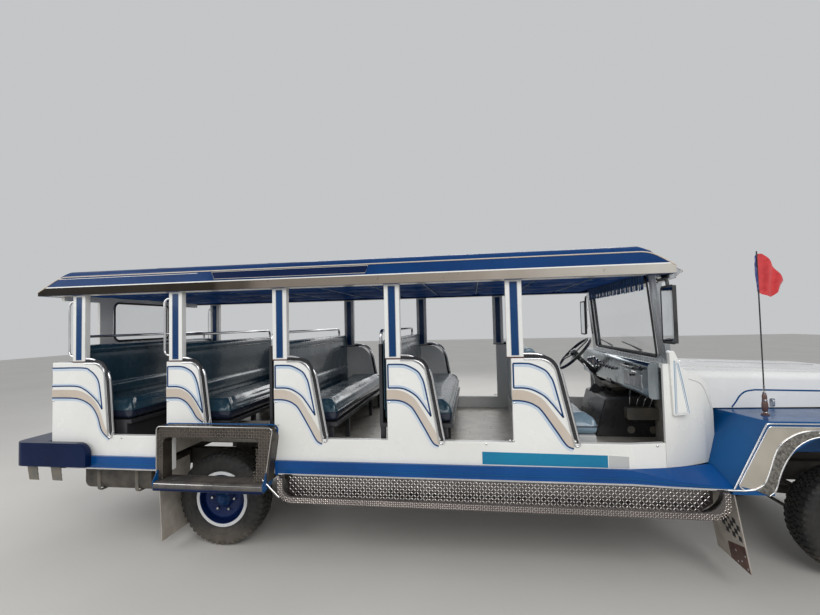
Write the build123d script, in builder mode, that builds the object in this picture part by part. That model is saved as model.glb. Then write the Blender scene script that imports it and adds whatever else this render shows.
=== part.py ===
import os
from math import atan, cos, radians, sin

from build123d import *

# A long open-sided jeepney with cross benches. Millimetres.
# X runs forward, Y to the vehicle's left, Z up. The origin is on the ground, midway along its length.

# Overall lengths
bay_pitch = 880            # pillar to pillar, one bench in each bay
bay_count = 4
rear_overhang = 530        # rearmost pillar to the back of the rear bumper
nose_length = 3010         # foremost pillar to the front of the front bumper

# Body section
body_width = 1900          # over the side panels
side_wall = 50
skirt_z = 655              # bottom edge of the side
band_height = 102          # the coloured band along that edge
floor_rise = 145           # floor above the side's bottom edge
floor_sheet = 30
sill_height = 120          # sill above the floor
panel_height = 590         # side panels above the sill
window_height = 555        # open space between the side panels and the roof edge
sheet = 30                 # double-skinned panel thickness

# Roof
roof_overhang = 50         # beyond the side panels
fascia_height = 165
roof_crown = 115           # rise of the roof over its fascia
roof_rear = 340            # behind the rearmost pillar
roof_front = 1055          # ahead of the foremost pillar
gutter_lip = 120

# Wheels
tyre_diameter = 740
tyre_width = 215
rim_diameter = 406
rear_axle_station = 280    # ahead of the second pillar
front_axle_station = 2220  # ahead of the foremost pillar
wheel_track = 1385         # between the tyres' centre planes

# Fits
seat_gap = 0.3             # between curved faces that bear on each other
running_gap = 0.05         # radial, on pins and stubs
moving_gap = 6             # around the hood

half_width = body_width / 2
inner_y = half_width - side_wall
roof_width = body_width + 2 * roof_overhang
band_z = skirt_z + band_height
floor_z = skirt_z + floor_rise
sill_z = floor_z + sill_height
belt_z = sill_z + panel_height
fascia_z = belt_z + window_height
overall_length = rear_overhang + bay_count * bay_pitch + nose_length
rear_x = -overall_length / 2
first_pillar_x = rear_x + rear_overhang
pillar_x = [first_pillar_x + n * bay_pitch for n in range(bay_count + 1)]
cab_x = pillar_x[-1]       # stations of the cab and nose are measured from here
front_x = cab_x + nose_length
rear_axle_x = pillar_x[1] + rear_axle_station
front_axle_x = cab_x + front_axle_station
axle_z = tyre_diameter / 2
wheel_y = wheel_track / 2
roof_edge_z = fascia_z + fascia_height
ceiling_z = fascia_z + sheet

os.makedirs("parts", exist_ok=True)


def finish(piece, label):
    piece.part.label = label
    export_step(piece.part, f"parts/{label}.step")


def box_between(low, high):
    """A box from one corner to the other."""
    centre = [(a + b) / 2 for a, b in zip(low, high)]
    size = [b - a for a, b in zip(low, high)]
    with Locations(tuple(centre)):
        Box(*size)


def left_of(right):
    """The same piece on the vehicle's left."""
    with BuildPart() as left:
        add(right.part)
        mirror(about=Plane.XZ, mode=Mode.REPLACE)
    return left


def side_plane(y):
    """A side-view plane at distance y to the right; it extrudes outward, away from the centre line."""
    return Plane.XZ.offset(y)


# Chassis frame: two rails, cross members and spring hangers

rail_top_z = skirt_z
rail_depth = 140
member_half = 40           # cross members, along X
member_low = 70            # their underside above the rails' underside
member_high = 5            # their top below the rails' top
rail_width = 65
rail_gap = 600             # clear width between the rails
rail_outer_y = rail_gap / 2 + rail_width
rail_low_z = rail_top_z - rail_depth
spring_half = 520
hanger_drop = 40
hanger_length = 70
rear_members = [-420, 480, 1900]      # stations from the rearmost pillar
front_members = [-220, 430, 2585]     # stations from the foremost pillar

with BuildPart() as chassis_frame:
    for side in (-1, 1):
        low_y, high_y = sorted((side * rail_gap / 2, side * rail_outer_y))
        box_between((rear_x + 60, low_y, rail_low_z), (front_x - 60, high_y, rail_top_z))
        for axle_x in (rear_axle_x, front_axle_x):
            for end in (-spring_half, spring_half):
                box_between((axle_x + end - hanger_length / 2, low_y, rail_low_z - hanger_drop),
                            (axle_x + end + hanger_length / 2, high_y, rail_low_z))
    for x in [first_pillar_x + n for n in rear_members] + [cab_x + n for n in front_members]:
        box_between((x - member_half, -rail_gap / 2, rail_low_z + member_low),
                    (x + member_half, rail_gap / 2, rail_top_z - member_high))
finish(chassis_frame, "chassis_frame")


# Leaf springs: each a bowed pack hung below a rail

leaf_stack = 42


def leaf_springs(axle_x, seat_z):
    """The two packs of one axle, low in the middle and up at the hangers."""
    eye_z = rail_low_z - hanger_drop - seat_gap
    with BuildPart() as pair:
        with BuildSketch(side_plane(rail_gap / 2)):
            with BuildLine():
                left_end = (axle_x - spring_half, eye_z)
                right_end = (axle_x + spring_half, eye_z)
                ThreePointArc(left_end, (axle_x, seat_z + leaf_stack), right_end)
                Line(right_end, (right_end[0], eye_z - leaf_stack / 2))
                ThreePointArc((right_end[0], eye_z - leaf_stack / 2), (axle_x, seat_z),
                              (left_end[0], eye_z - leaf_stack / 2))
                Line((left_end[0], eye_z - leaf_stack / 2), left_end)
            make_face()
        extrude(amount=rail_width)
        mirror(about=Plane.XZ)
    return pair


axle_tube_radius = 45
beam_half = 32
rear_spring_seat = axle_z + axle_tube_radius + seat_gap
front_spring_seat = axle_z + beam_half
with BuildPart() as springs:
    add(leaf_springs(rear_axle_x, rear_spring_seat).part)
    add(leaf_springs(front_axle_x, front_spring_seat).part)
finish(springs, "leaf_springs")


# Wheels: dished disc rims and tyres

rim_width = 165
rim_flange = 19            # the flanges stand above the bead seats
rim_barrel_radius = rim_diameter / 2
rim_flange_radius = rim_barrel_radius + rim_flange
dish_fold = 53             # the disc's fold, in from the bead seats
rim_wall = 10
hub_radius = 62
hub_bore_radius = 30
disc_offset = 20           # disc plane, outboard of the rim's centre
hub_half = 45


def rim(axle_x, side):
    """A rim turned about its axle, with its disc towards the outside."""
    profile = [
        (-rim_width / 2, rim_barrel_radius - rim_wall), (-rim_width / 2, rim_flange_radius),
        (-rim_width / 2 + 8, rim_flange_radius), (-rim_width / 2 + 8, rim_barrel_radius),
        (rim_width / 2 - 8, rim_barrel_radius), (rim_width / 2 - 8, rim_flange_radius),
        (rim_width / 2, rim_flange_radius), (rim_width / 2, rim_barrel_radius - rim_wall),
        (disc_offset + 14, rim_barrel_radius - rim_wall), (disc_offset + 42, rim_barrel_radius - dish_fold),
        (disc_offset + 20, hub_radius + 20),
        (disc_offset + hub_half, hub_radius), (disc_offset + hub_half, hub_bore_radius),
        (-hub_half, hub_bore_radius), (-hub_half, hub_radius), (disc_offset - 6, hub_radius + 20),
        (disc_offset + 28, rim_barrel_radius - dish_fold - rim_wall),
        (disc_offset, rim_barrel_radius - rim_wall),
    ]
    plane = Plane(origin=(axle_x, side * wheel_y, axle_z), x_dir=(0, side, 0), z_dir=(1, 0, 0))
    with BuildPart() as turned:
        with BuildSketch(plane):
            with BuildLine():
                Polyline(*profile, close=True)
            make_face()
        revolve(axis=Axis((axle_x, 0, axle_z), (0, 1, 0)))
    return turned


def tyre(axle_x, side):
    """A tyre whose beads sit between the rim's flanges."""
    bead = rim_width / 2 - 8 - seat_gap
    bead_radius = rim_barrel_radius + seat_gap
    tread_radius = tyre_diameter / 2
    half = tyre_width / 2
    plane = Plane(origin=(axle_x, side * wheel_y, axle_z), x_dir=(0, side, 0), z_dir=(1, 0, 0))
    with BuildPart() as turned:
        with BuildSketch(plane):
            with BuildLine():
                Line((-bead, bead_radius), (bead, bead_radius))
                Line((bead, bead_radius), (bead, rim_flange_radius + 4))
                ThreePointArc((bead, rim_flange_radius + 4), (half, (rim_flange_radius + tread_radius) / 2),
                              (half - 22, tread_radius - 14))
                Line((half - 22, tread_radius - 14), (half - 40, tread_radius))
                Line((half - 40, tread_radius), (40 - half, tread_radius))
                Line((40 - half, tread_radius), (22 - half, tread_radius - 14))
                ThreePointArc((22 - half, tread_radius - 14), (-half, (rim_flange_radius + tread_radius) / 2),
                              (-bead, rim_flange_radius + 4))
                Line((-bead, rim_flange_radius + 4), (-bead, bead_radius))
            make_face()
        revolve(axis=Axis((axle_x, 0, axle_z), (0, 1, 0)))
    return turned


for axle_name, axle_x in (("rear", rear_axle_x), ("front", front_axle_x)):
    for side_name, side in (("right", -1), ("left", 1)):
        finish(rim(axle_x, side), f"rim_{axle_name}_{side_name}")
        finish(tyre(axle_x, side), f"tyre_{axle_name}_{side_name}")


# Rear axle: tube, differential and stubs that run in the rims

stub_radius = hub_bore_radius - running_gap
stub_end_y = wheel_y + disc_offset + hub_half
hub_inner_y = wheel_y - hub_half
diff_radius = 130


with BuildPart() as rear_axle:
    # from y, to y, radius
    for start, end, radius in ((-hub_inner_y + 2, hub_inner_y - 2, axle_tube_radius),
                               (-stub_end_y, -hub_inner_y + 2, stub_radius),
                               (hub_inner_y - 2, stub_end_y, stub_radius)):
        with BuildSketch(Plane(origin=(rear_axle_x, start, axle_z), x_dir=(1, 0, 0), z_dir=(0, 1, 0))):
            Circle(radius)
        extrude(amount=end - start)
    with Locations((rear_axle_x, 0, axle_z)):
        Sphere(diff_radius)
finish(rear_axle, "rear_axle")


# Front axle beam and the steered knuckles

kingpin_y = 575
kingpin_radius = 15
eye_radius = 34
eye_half = 40
lug_thick = 22
arm_length = 150
arm_half = 14
tie_rod_drop = 4

with BuildPart() as front_axle:
    box_between((front_axle_x - beam_half, -kingpin_y, axle_z - beam_half),
                (front_axle_x + beam_half, kingpin_y, axle_z + beam_half))
    for side in (-1, 1):
        with BuildSketch(Plane.XY.offset(axle_z - eye_half)):
            with Locations((front_axle_x, side * kingpin_y)):
                Circle(eye_radius)
        extrude(amount=2 * eye_half)
        with BuildSketch(Plane.XY.offset(axle_z - eye_half)):
            with Locations((front_axle_x, side * kingpin_y)):
                Circle(kingpin_radius)
        extrude(amount=2 * eye_half, mode=Mode.SUBTRACT)
finish(front_axle, "front_axle")

tie_rod_radius = 12
ball_radius = 10
arm_z = axle_z - eye_half - 1 - lug_thick
tie_rod_x = front_axle_x - arm_length


def knuckle(side):
    """A fork over the beam's eye, with its kingpin, wheel stub and steering arm."""
    pin_y = side * kingpin_y
    fork_y = pin_y + side * (eye_radius + 4)
    with BuildPart() as fork:
        for low_z in (axle_z - eye_half - 1 - lug_thick, axle_z + eye_half + 1):
            with BuildSketch(Plane.XY.offset(low_z)):
                with Locations((front_axle_x, pin_y)):
                    Circle(eye_radius)
                with Locations((front_axle_x, pin_y + side * eye_radius)):
                    Rectangle(2 * eye_radius, 2 * eye_radius)
            extrude(amount=lug_thick)
        with BuildSketch(Plane.XY.offset(arm_z)):
            with Locations((front_axle_x, pin_y)):
                Circle(kingpin_radius - running_gap)
        extrude(amount=2 * (eye_half + 1 + lug_thick))
        low_y, high_y = sorted((fork_y, side * (hub_inner_y - 2)))
        box_between((front_axle_x - eye_radius, low_y, arm_z),
                    (front_axle_x + eye_radius, high_y, 2 * axle_z - arm_z))
        with BuildSketch(Plane(origin=(front_axle_x, side * (hub_inner_y - 2), axle_z),
                               x_dir=(1, 0, 0), z_dir=(0, side, 0))):
            Circle(stub_radius)
        extrude(amount=stub_end_y - hub_inner_y + 2)
        box_between((tie_rod_x, pin_y - arm_half, arm_z), (front_axle_x, pin_y + arm_half, arm_z + lug_thick))
        with BuildSketch(Plane.XY.offset(arm_z)):
            with Locations((tie_rod_x, pin_y)):
                Circle(2 * ball_radius)
        extrude(amount=lug_thick)
        with BuildSketch(Plane.XY.offset(arm_z)):
            with Locations((tie_rod_x, pin_y)):
                Circle(ball_radius + running_gap)
        extrude(amount=lug_thick, mode=Mode.SUBTRACT)
    return fork


for side_name, side in (("right", -1), ("left", 1)):
    finish(knuckle(side), f"knuckle_{side_name}")

with BuildPart() as tie_rod:
    rod_z = arm_z - tie_rod_drop - tie_rod_radius
    with BuildSketch(Plane(origin=(tie_rod_x, -kingpin_y - 20, rod_z), x_dir=(1, 0, 0), z_dir=(0, 1, 0))):
        Circle(tie_rod_radius)
    extrude(amount=2 * kingpin_y + 40)
    for side in (-1, 1):
        with BuildSketch(Plane.XY.offset(rod_z)):
            with Locations((tie_rod_x, side * kingpin_y)):
                Circle(ball_radius)
        extrude(amount=arm_z + lug_thick - rod_z)
finish(tie_rod, "tie_rod")


# Drive shaft, engine and fuel tank under the body

shaft_front_x = cab_x + 800
shaft_front_z = rail_low_z + 45
shaft_radius = 34
diff_nose_x = rear_axle_x + diff_radius + seat_gap
shaft_start = Vector(diff_nose_x + 30, 0, axle_z + 10)
shaft_run = Vector(shaft_front_x, 0, shaft_front_z) - shaft_start

with BuildPart() as drive_shaft:
    with BuildSketch(Plane(origin=(diff_nose_x, 0, axle_z), z_dir=(1, 0, 0))):
        Circle(55)
    extrude(amount=60)
    with BuildSketch(Plane(origin=shaft_start, z_dir=shaft_run)):
        Circle(shaft_radius)
    extrude(amount=shaft_run.length + shaft_radius)
    split(bisect_by=Plane.YZ.offset(shaft_front_x), keep=Keep.BOTTOM)
finish(drive_shaft, "drive_shaft")

engine_rear = 1500         # from the foremost pillar
engine_front = 2380
engine_half = 240
engine_low_z = rail_low_z + 45
engine_height = 620
gearbox_half = 140
gearbox_low_z = rail_low_z - 75
engine_mount_station = 1850

with BuildPart() as engine_block:
    box_between((cab_x + engine_rear, -engine_half, engine_low_z),
                (cab_x + engine_front, engine_half, engine_low_z + engine_height))
    box_between((shaft_front_x + seat_gap, -gearbox_half, gearbox_low_z),
                (cab_x + engine_rear, gearbox_half, rail_top_z - member_high))
    for side in (-1, 1):
        low_y, high_y = sorted((side * engine_half, side * rail_gap / 2))
        box_between((cab_x + engine_mount_station, low_y, rail_low_z + member_low),
                    (cab_x + engine_mount_station + 100, high_y, rail_top_z - member_high))
finish(engine_block, "engine_block")

tank_rear = 0
tank_length = 610
tank_depth = 205
with BuildPart() as fuel_tank:
    box_between((first_pillar_x + tank_rear, -inner_y + 20, rail_top_z - seat_gap - tank_depth),
                (first_pillar_x + tank_rear + tank_length, -rail_outer_y - 30, rail_top_z - seat_gap))
    fillet(fuel_tank.edges().filter_by(Axis.X).group_by(Axis.Z)[0], radius=80)
finish(fuel_tank, "fuel_tank")


# Floor pan with its rear wheel housings and toe board, on cross bearers

arch_rear = bay_pitch - 30 # opening over the rear wheel, from the rearmost pillar
arch_front = arch_rear + 790
housing_rear = arch_rear - 50
housing_front = arch_front
housing_inner_y = 520
housing_height = 150       # above the floor
housing_top_z = floor_z + housing_height
cab_taper_start = 735      # where the side begins to close in, ahead of the foremost pillar
cab_taper_end = 980
cowl_half = half_width - 45           # half width of the cowl at its rear edge
toe_x = cab_x + 1180
toe_half = cowl_half - 105
toe_top_z = floor_z + 540
bearer_width = 60
floor_low_z = floor_z - floor_sheet
rear_wall_back = 250       # behind the rearmost pillar
rear_wall_x = first_pillar_x - rear_wall_back + sheet
long_bearer = inner_y - 20
axle_bearer = (rear_axle_x - first_pillar_x, housing_inner_y - 20)
# bearer station from the rearmost pillar, half length
bearers = [(-150, long_bearer), (500, long_bearer), axle_bearer, (arch_front + 160, long_bearer)]
bearers += [(2500, long_bearer), (3200, long_bearer), (3900, long_bearer), (4400, toe_half)]

with BuildPart() as floor_pan:
    with BuildSketch(Plane.XY.offset(floor_low_z)):
        with BuildLine():
            Polyline((rear_wall_x, -inner_y), (cab_x + cab_taper_start, -inner_y),
                     (cab_x + cab_taper_end, -cowl_half + side_wall), (toe_x, -toe_half), (toe_x, toe_half),
                     (cab_x + cab_taper_end, cowl_half - side_wall), (cab_x + cab_taper_start, inner_y),
                     (rear_wall_x, inner_y), close=True)
        make_face()
    extrude(amount=floor_sheet)
    for side in (-1, 1):
        low_y, high_y = sorted((side * housing_inner_y, side * (inner_y - 1)))
        box_between((first_pillar_x + housing_rear, low_y, floor_low_z),
                    (first_pillar_x + housing_front, high_y, housing_top_z))
        low_y, high_y = sorted((side * (housing_inner_y + floor_sheet), side * inner_y))
        with BuildSketch(Plane.XY.offset(floor_low_z)):
            with Locations((first_pillar_x + (housing_rear + housing_front) / 2, (low_y + high_y) / 2)):
                Rectangle(housing_front - housing_rear - 2 * floor_sheet, high_y - low_y)
        extrude(amount=housing_top_z - floor_sheet - floor_low_z, mode=Mode.SUBTRACT)
    box_between((toe_x - 20, -toe_half, floor_z), (toe_x, toe_half, toe_top_z))
finish(floor_pan, "floor_pan")

with BuildPart() as floor_bearers:
    for station, half in bearers:
        x = first_pillar_x + station
        box_between((x - bearer_width / 2, -half, rail_top_z), (x + bearer_width / 2, half, floor_low_z))
finish(floor_bearers, "floor_bearers")


# Body side: a sill with one swooping half panel at each pillar

# rear edge, top corner and front tip from the pillar's centre, corner radius
swoop_table = [
    (-250, 242, 286, 185),
    (-80, 205, 280, 160),
    (-50, 235, 340, 185),
    (-50, 235, 334, 185),
    (-30, 259, 384, 185),
]
arch_top_z = sill_z + 20
arch_box_top_z = arch_top_z + 82


def swoop_outline(pillar, row):
    """The half panel's outline, from its top edge round to the sill."""
    rear, corner, tip, radius = row
    with BuildLine() as outline:
        edge = FilletPolyline((pillar + rear, belt_z), (pillar + corner, belt_z), (pillar + tip, sill_z),
                              radius=radius)
        Polyline(edge @ 1, (pillar + tip, sill_z - 60), (pillar + rear, sill_z - 60), edge @ 0)
    return outline.edges()


with BuildPart() as body_side_right:
    with BuildSketch(side_plane(inner_y)):
        with BuildLine():
            Polyline((pillar_x[0] - rear_wall_back, skirt_z), (cab_x + cab_taper_start, skirt_z),
                     (cab_x + cab_taper_start, sill_z), (pillar_x[0] - rear_wall_back, sill_z), close=True)
        make_face()
        for pillar, row in zip(pillar_x, swoop_table):
            make_face(swoop_outline(pillar, row))
    extrude(amount=side_wall)
    with BuildSketch(side_plane(inner_y)):
        with BuildLine():
            Polyline((first_pillar_x + arch_rear, skirt_z), (first_pillar_x + arch_rear, arch_top_z),
                     (first_pillar_x + arch_front, arch_top_z), (first_pillar_x + arch_front - 40, skirt_z),
                     close=True)
        make_face()
    extrude(amount=side_wall, mode=Mode.SUBTRACT)
    with BuildSketch(Plane.XY.offset(skirt_z)):
        with BuildLine():
            Polyline((cab_x + cab_taper_start, -half_width), (cab_x + cab_taper_end, -cowl_half),
                     (cab_x + cab_taper_end, side_wall - cowl_half), (cab_x + cab_taper_start, -inner_y),
                     close=True)
        make_face()
    extrude(amount=sill_z - skirt_z)
finish(body_side_right, "body_side_right")
finish(left_of(body_side_right), "body_side_left")


# Front fenders: flat-topped, with a sloping apron and a wide arch

fender_half = half_width + 70         # outer face
fender_top_z = skirt_z + 445
fender_low_z = skirt_z - 20
fender_wall = 25
apron_sweep = 100          # how far the apron's inner edge lies behind its outer edge
fender_inner_y = 600
fender_front_x = cab_x + 2870
inner_wall_low_z = fender_low_z + 165
arch_mid_z = fender_low_z + 215
arch_shoulder = 330        # half of the arch's flat top


def fender_outline(shift):
    """Side view of the fender, its rear edge moved back by shift."""
    with BuildLine() as outline:
        Polyline((cab_x + 1310 - shift, fender_low_z), (cab_x + 1540 - shift, fender_top_z),
                 (fender_front_x - 50, fender_top_z), (fender_front_x, fender_top_z - 80),
                 (fender_front_x, fender_low_z), close=True)
    return outline.edges()


with BuildPart() as fender_block:
    with BuildSketch(side_plane(fender_inner_y)):
        make_face(fender_outline(apron_sweep))
    with BuildSketch(side_plane(fender_half)):
        make_face(fender_outline(0))
    loft(ruled=True)

with BuildPart() as front_fender_right:
    add(fender_block.part)
    with BuildSketch(side_plane(fender_inner_y + fender_wall)):
        with BuildLine():
            Polyline((cab_x + 1340, fender_low_z), (cab_x + 1560, fender_top_z - fender_wall),
                     (fender_front_x - 64, fender_top_z - fender_wall),
                     (fender_front_x - fender_wall, fender_top_z - 90),
                     (fender_front_x - fender_wall, fender_low_z), close=True)
        make_face()
    extrude(amount=fender_half - fender_inner_y - 2 * fender_wall, mode=Mode.SUBTRACT)
    with BuildSketch(side_plane(fender_half - fender_wall)):
        with BuildLine():
            foot = (front_axle_x - 665, fender_low_z)
            shoulder = (front_axle_x - arch_shoulder, fender_top_z - 85)
            far_shoulder = (front_axle_x + arch_shoulder, fender_top_z - 85)
            far_foot = (front_axle_x + 560, fender_low_z)
            ThreePointArc(foot, (front_axle_x - 590, arch_mid_z), shoulder)
            Line(shoulder, far_shoulder)
            ThreePointArc(far_shoulder, (front_axle_x + 510, arch_mid_z), far_foot)
            Line(far_foot, foot)
        make_face()
    extrude(amount=fender_wall, mode=Mode.SUBTRACT)
    with BuildSketch(side_plane(fender_inner_y)):
        with Locations((front_axle_x, (fender_low_z + inner_wall_low_z) / 2)):
            Rectangle(1000, inner_wall_low_z - fender_low_z)
    extrude(amount=fender_wall, mode=Mode.SUBTRACT)
finish(front_fender_right, "front_fender_right")
finish(left_of(front_fender_right), "front_fender_left")


# Coloured skirt band, flaring into the fender's apron at the front

band_proud = 25
flare_x = cab_x + 1380
flare_inner_y = cowl_half - 131

with BuildPart() as side_skirts:
    band_rear = first_pillar_x - rear_wall_back
    with BuildSketch(side_plane(half_width)):
        for start, end in ((band_rear, first_pillar_x + arch_rear - 64),
                           (first_pillar_x + arch_front + 84, cab_x + cab_taper_start)):
            with Locations(((start + end) / 2, (skirt_z + band_z) / 2)):
                Rectangle(end - start, band_z - skirt_z)
    extrude(amount=band_proud)
    with BuildSketch(Plane(origin=(cab_x + cab_taper_start, 0, 0), x_dir=(0, 1, 0), z_dir=(1, 0, 0))):
        with BuildLine():
            Polyline((-half_width - band_proud, skirt_z), (-half_width, skirt_z), (-half_width, band_z),
                     (-half_width - band_proud, band_z - 1), close=True)
        make_face()
    with BuildSketch(Plane(origin=(cab_x + cab_taper_end, 0, 0), x_dir=(0, 1, 0), z_dir=(1, 0, 0))):
        with BuildLine():
            Polyline((-half_width - 50, skirt_z), (-cowl_half, skirt_z), (-cowl_half, band_z),
                     (-half_width - 50, skirt_z + 50), close=True)
        make_face()
    loft(ruled=True)
    with BuildSketch(Plane(origin=(cab_x + cab_taper_end, 0, 0), x_dir=(0, 1, 0), z_dir=(1, 0, 0))):
        with BuildLine():
            Polyline((-half_width - 50, skirt_z), (-cowl_half, skirt_z), (-cowl_half, band_z),
                     (-half_width - 50, skirt_z + 50), close=True)
        make_face()
    with BuildSketch(Plane(origin=(flare_x, 0, 0), x_dir=(0, 1, 0), z_dir=(1, 0, 0))):
        with BuildLine():
            Polyline((-fender_half, skirt_z), (-flare_inner_y, skirt_z), (-flare_inner_y, band_z),
                     (-fender_half, skirt_z + 14), close=True)
        make_face()
    loft(ruled=True)
    add(fender_block.part, mode=Mode.SUBTRACT)
    mirror(about=Plane.XZ)
finish(side_skirts, "side_skirts")


# Pillars between the side panels and the roof edge

pillar_width = 115
pillar_groove = 42
groove_depth = 6

with BuildPart() as pillars:
    for pillar in pillar_x:
        for side in (-1, 1):
            low_y, high_y = sorted((side * inner_y, side * half_width))
            box_between((pillar - pillar_width / 2, low_y, belt_z),
                        (pillar + pillar_width / 2, high_y, fascia_z))
    with BuildSketch(side_plane(half_width - groove_depth)):
        for pillar in pillar_x:
            with Locations((pillar, (belt_z + fascia_z) / 2)):
                Rectangle(pillar_groove, fascia_z - belt_z - 60)
    extrude(amount=groove_depth, mode=Mode.SUBTRACT)
    with BuildSketch(side_plane(-half_width)):
        for pillar in pillar_x:
            with Locations((pillar, (belt_z + fascia_z) / 2)):
                Rectangle(pillar_groove, fascia_z - belt_z - 60)
    extrude(amount=groove_depth, mode=Mode.SUBTRACT)
finish(pillars, "pillars")


# Chrome rails that follow each side panel's front edge

rail_tube_radius = 10
rail_clear = 18            # between the panel's edge and the tube
rail_y = half_width - 15


def swoop_rail(pillar, row):
    """A tube from the pillar down to the sill or the wheel arch, parallel to the panel's edge."""
    rear, corner, tip, radius = row
    out = rail_clear + rail_tube_radius
    lean = (tip - corner) / (belt_z - sill_z)
    top_z = belt_z + out
    foot_z = arch_box_top_z if pillar == pillar_x[1] else sill_z
    end_z = foot_z - rail_tube_radius
    slant = out * (1 + lean * lean) ** 0.5
    corner_x = pillar + corner + slant - lean * out
    end_x = corner_x + lean * (top_z - end_z)
    with BuildPart() as tube:
        with BuildLine() as path:
            FilletPolyline((pillar + pillar_width / 2, -rail_y, top_z), (corner_x, -rail_y, top_z),
                           (end_x, -rail_y, end_z), radius=radius + out)
        with BuildSketch(Plane(origin=path.line @ 0, z_dir=path.line % 0)):
            Circle(rail_tube_radius)
        sweep(path=path.line)
        split(bisect_by=Plane.XY.offset(foot_z), keep=Keep.TOP)
    return tube


with BuildPart() as side_rails:
    for pillar, row in zip(pillar_x, swoop_table):
        add(swoop_rail(pillar, row).part)
    mirror(about=Plane.XZ)
finish(side_rails, "side_rails")


# Grab handles on the two rearmost pillars of each side

handle_radius = 9
handle_reach = 48          # from the pillar to the handle's centre line
handle_end = 50            # handle's ends, from the pillar's ends

with BuildPart() as grab_handles:
    for pillar in pillar_x[:2]:
        back_x = pillar - pillar_width / 2
        high_z, low_z = fascia_z - handle_end, belt_z + handle_end
        with BuildLine() as path:
            out_x = back_x - handle_reach
            FilletPolyline((back_x, -rail_y, high_z), (out_x, -rail_y, high_z), (out_x, -rail_y, low_z),
                           (back_x, -rail_y, low_z), radius=handle_reach - 8)
        with BuildSketch(Plane(origin=path.line @ 0, z_dir=path.line % 0)):
            Circle(handle_radius)
        sweep(path=path.line)
    mirror(about=Plane.XZ)
finish(grab_handles, "grab_handles")


# Rear wall with its window and two open corners

window_half = 370
window_low_z = belt_z + 155
window_high_z = fascia_z - 28
window_radius = 60
post_half = 530            # outer edge of the posts beside the window
header_low_z = fascia_z - 35
wall_plane = Plane(origin=(rear_wall_x - sheet, 0, 0), x_dir=(0, 1, 0), z_dir=(1, 0, 0))

with BuildPart() as rear_wall:
    with BuildSketch(wall_plane):
        with Locations((0, (skirt_z + belt_z) / 2)):
            Rectangle(2 * inner_y, belt_z - skirt_z)
        with Locations((0, (belt_z + ceiling_z) / 2)):
            Rectangle(2 * post_half, ceiling_z - belt_z)
        with Locations((0, (header_low_z + ceiling_z) / 2)):
            Rectangle(2 * (roof_width / 2 - gutter_lip - 1), ceiling_z - header_low_z)
        with Locations((0, (window_low_z + window_high_z) / 2)):
            RectangleRounded(2 * window_half, window_high_z - window_low_z, window_radius, mode=Mode.SUBTRACT)
    extrude(amount=sheet)
finish(rear_wall, "rear_wall")

with BuildPart() as rear_window:
    with BuildSketch(wall_plane.offset(sheet / 2 - 3)):
        with Locations((0, (window_low_z + window_high_z) / 2)):
            RectangleRounded(2 * (window_half - seat_gap), window_high_z - window_low_z - 2 * seat_gap,
                             window_radius - seat_gap)
    extrude(amount=6)
finish(rear_window, "rear_window")


# Roof: one cambered shell, drooping at the front, with a gutter lip that the pillars meet

roof_rear_x = first_pillar_x - roof_rear
roof_front_x = cab_x + roof_front
roof_half = roof_width / 2
roof_tail = 270            # run of the slope at the rear
roof_end_wall = 85         # solid depth at the rear
roof_brow = 420            # run of the slope at the front
brow_low_z = roof_edge_z - 112
crown_z = roof_edge_z + roof_crown
end_plane = Plane(origin=(roof_rear_x, 0, 0), x_dir=(0, 1, 0), z_dir=(1, 0, 0))


def roof_section(half, low_z, edge_z, top_z, shoulder):
    """A cross-section with upright sides, rounded shoulders and a cambered top."""
    with BuildLine() as outline:
        Line((-half, low_z), (half, low_z))
        Line((half, low_z), (half, edge_z - shoulder))
        ThreePointArc((half, edge_z - shoulder), (half - 0.3 * shoulder, edge_z - 0.3 * shoulder),
                      (half - shoulder, edge_z))
        ThreePointArc((half - shoulder, edge_z), (0, top_z), (shoulder - half, edge_z))
        ThreePointArc((shoulder - half, edge_z), (0.3 * shoulder - half, edge_z - 0.3 * shoulder),
                      (-half, edge_z - shoulder))
        Line((-half, edge_z - shoulder), (-half, low_z))
    return outline.edges()


with BuildPart() as roof_shell:
    with BuildSketch(end_plane):
        make_face(roof_section(roof_half, fascia_z, roof_edge_z + 30, crown_z, 45))
    extrude(amount=roof_front_x - roof_rear_x)
    with BuildSketch(side_plane(-roof_half)):
        with BuildLine():
            Line((roof_rear_x, fascia_z), (roof_front_x, fascia_z))
            Line((roof_front_x, fascia_z), (roof_front_x, brow_low_z))
            ThreePointArc((roof_front_x, brow_low_z), (roof_front_x - 190, roof_edge_z + 5),
                          (roof_front_x - roof_brow, crown_z))
            tail_x = roof_rear_x + roof_tail
            tail_z = roof_edge_z + 14
            Line((roof_front_x - roof_brow, crown_z), (tail_x + roof_tail, crown_z))
            ThreePointArc((tail_x + roof_tail, crown_z), (tail_x + roof_tail / 2, crown_z - 30),
                          (tail_x, tail_z))
            Polyline((tail_x, tail_z), (roof_rear_x, fascia_z + 30), (roof_rear_x, fascia_z))
        make_face()
    extrude(amount=2 * roof_half, mode=Mode.INTERSECT)
    with BuildSketch(end_plane.offset(roof_end_wall)):
        with Locations((0, (fascia_z + ceiling_z) / 2)):
            Rectangle(2 * (roof_half - gutter_lip), sheet)
        with Locations((0, (ceiling_z + roof_edge_z - 115) / 2)):
            Rectangle(2 * (roof_half - sheet), roof_edge_z - 115 - ceiling_z)
    extrude(amount=roof_front_x - roof_rear_x - roof_end_wall - sheet, mode=Mode.SUBTRACT)
    with BuildSketch(end_plane.offset(2 * roof_tail + 80)):
        make_face(roof_section(roof_half - sheet, ceiling_z, roof_edge_z, crown_z - sheet, 45))
    extrude(amount=roof_front_x - roof_rear_x - 2 * roof_tail - roof_brow - 140, mode=Mode.SUBTRACT)
finish(roof_shell, "roof_shell")

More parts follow.
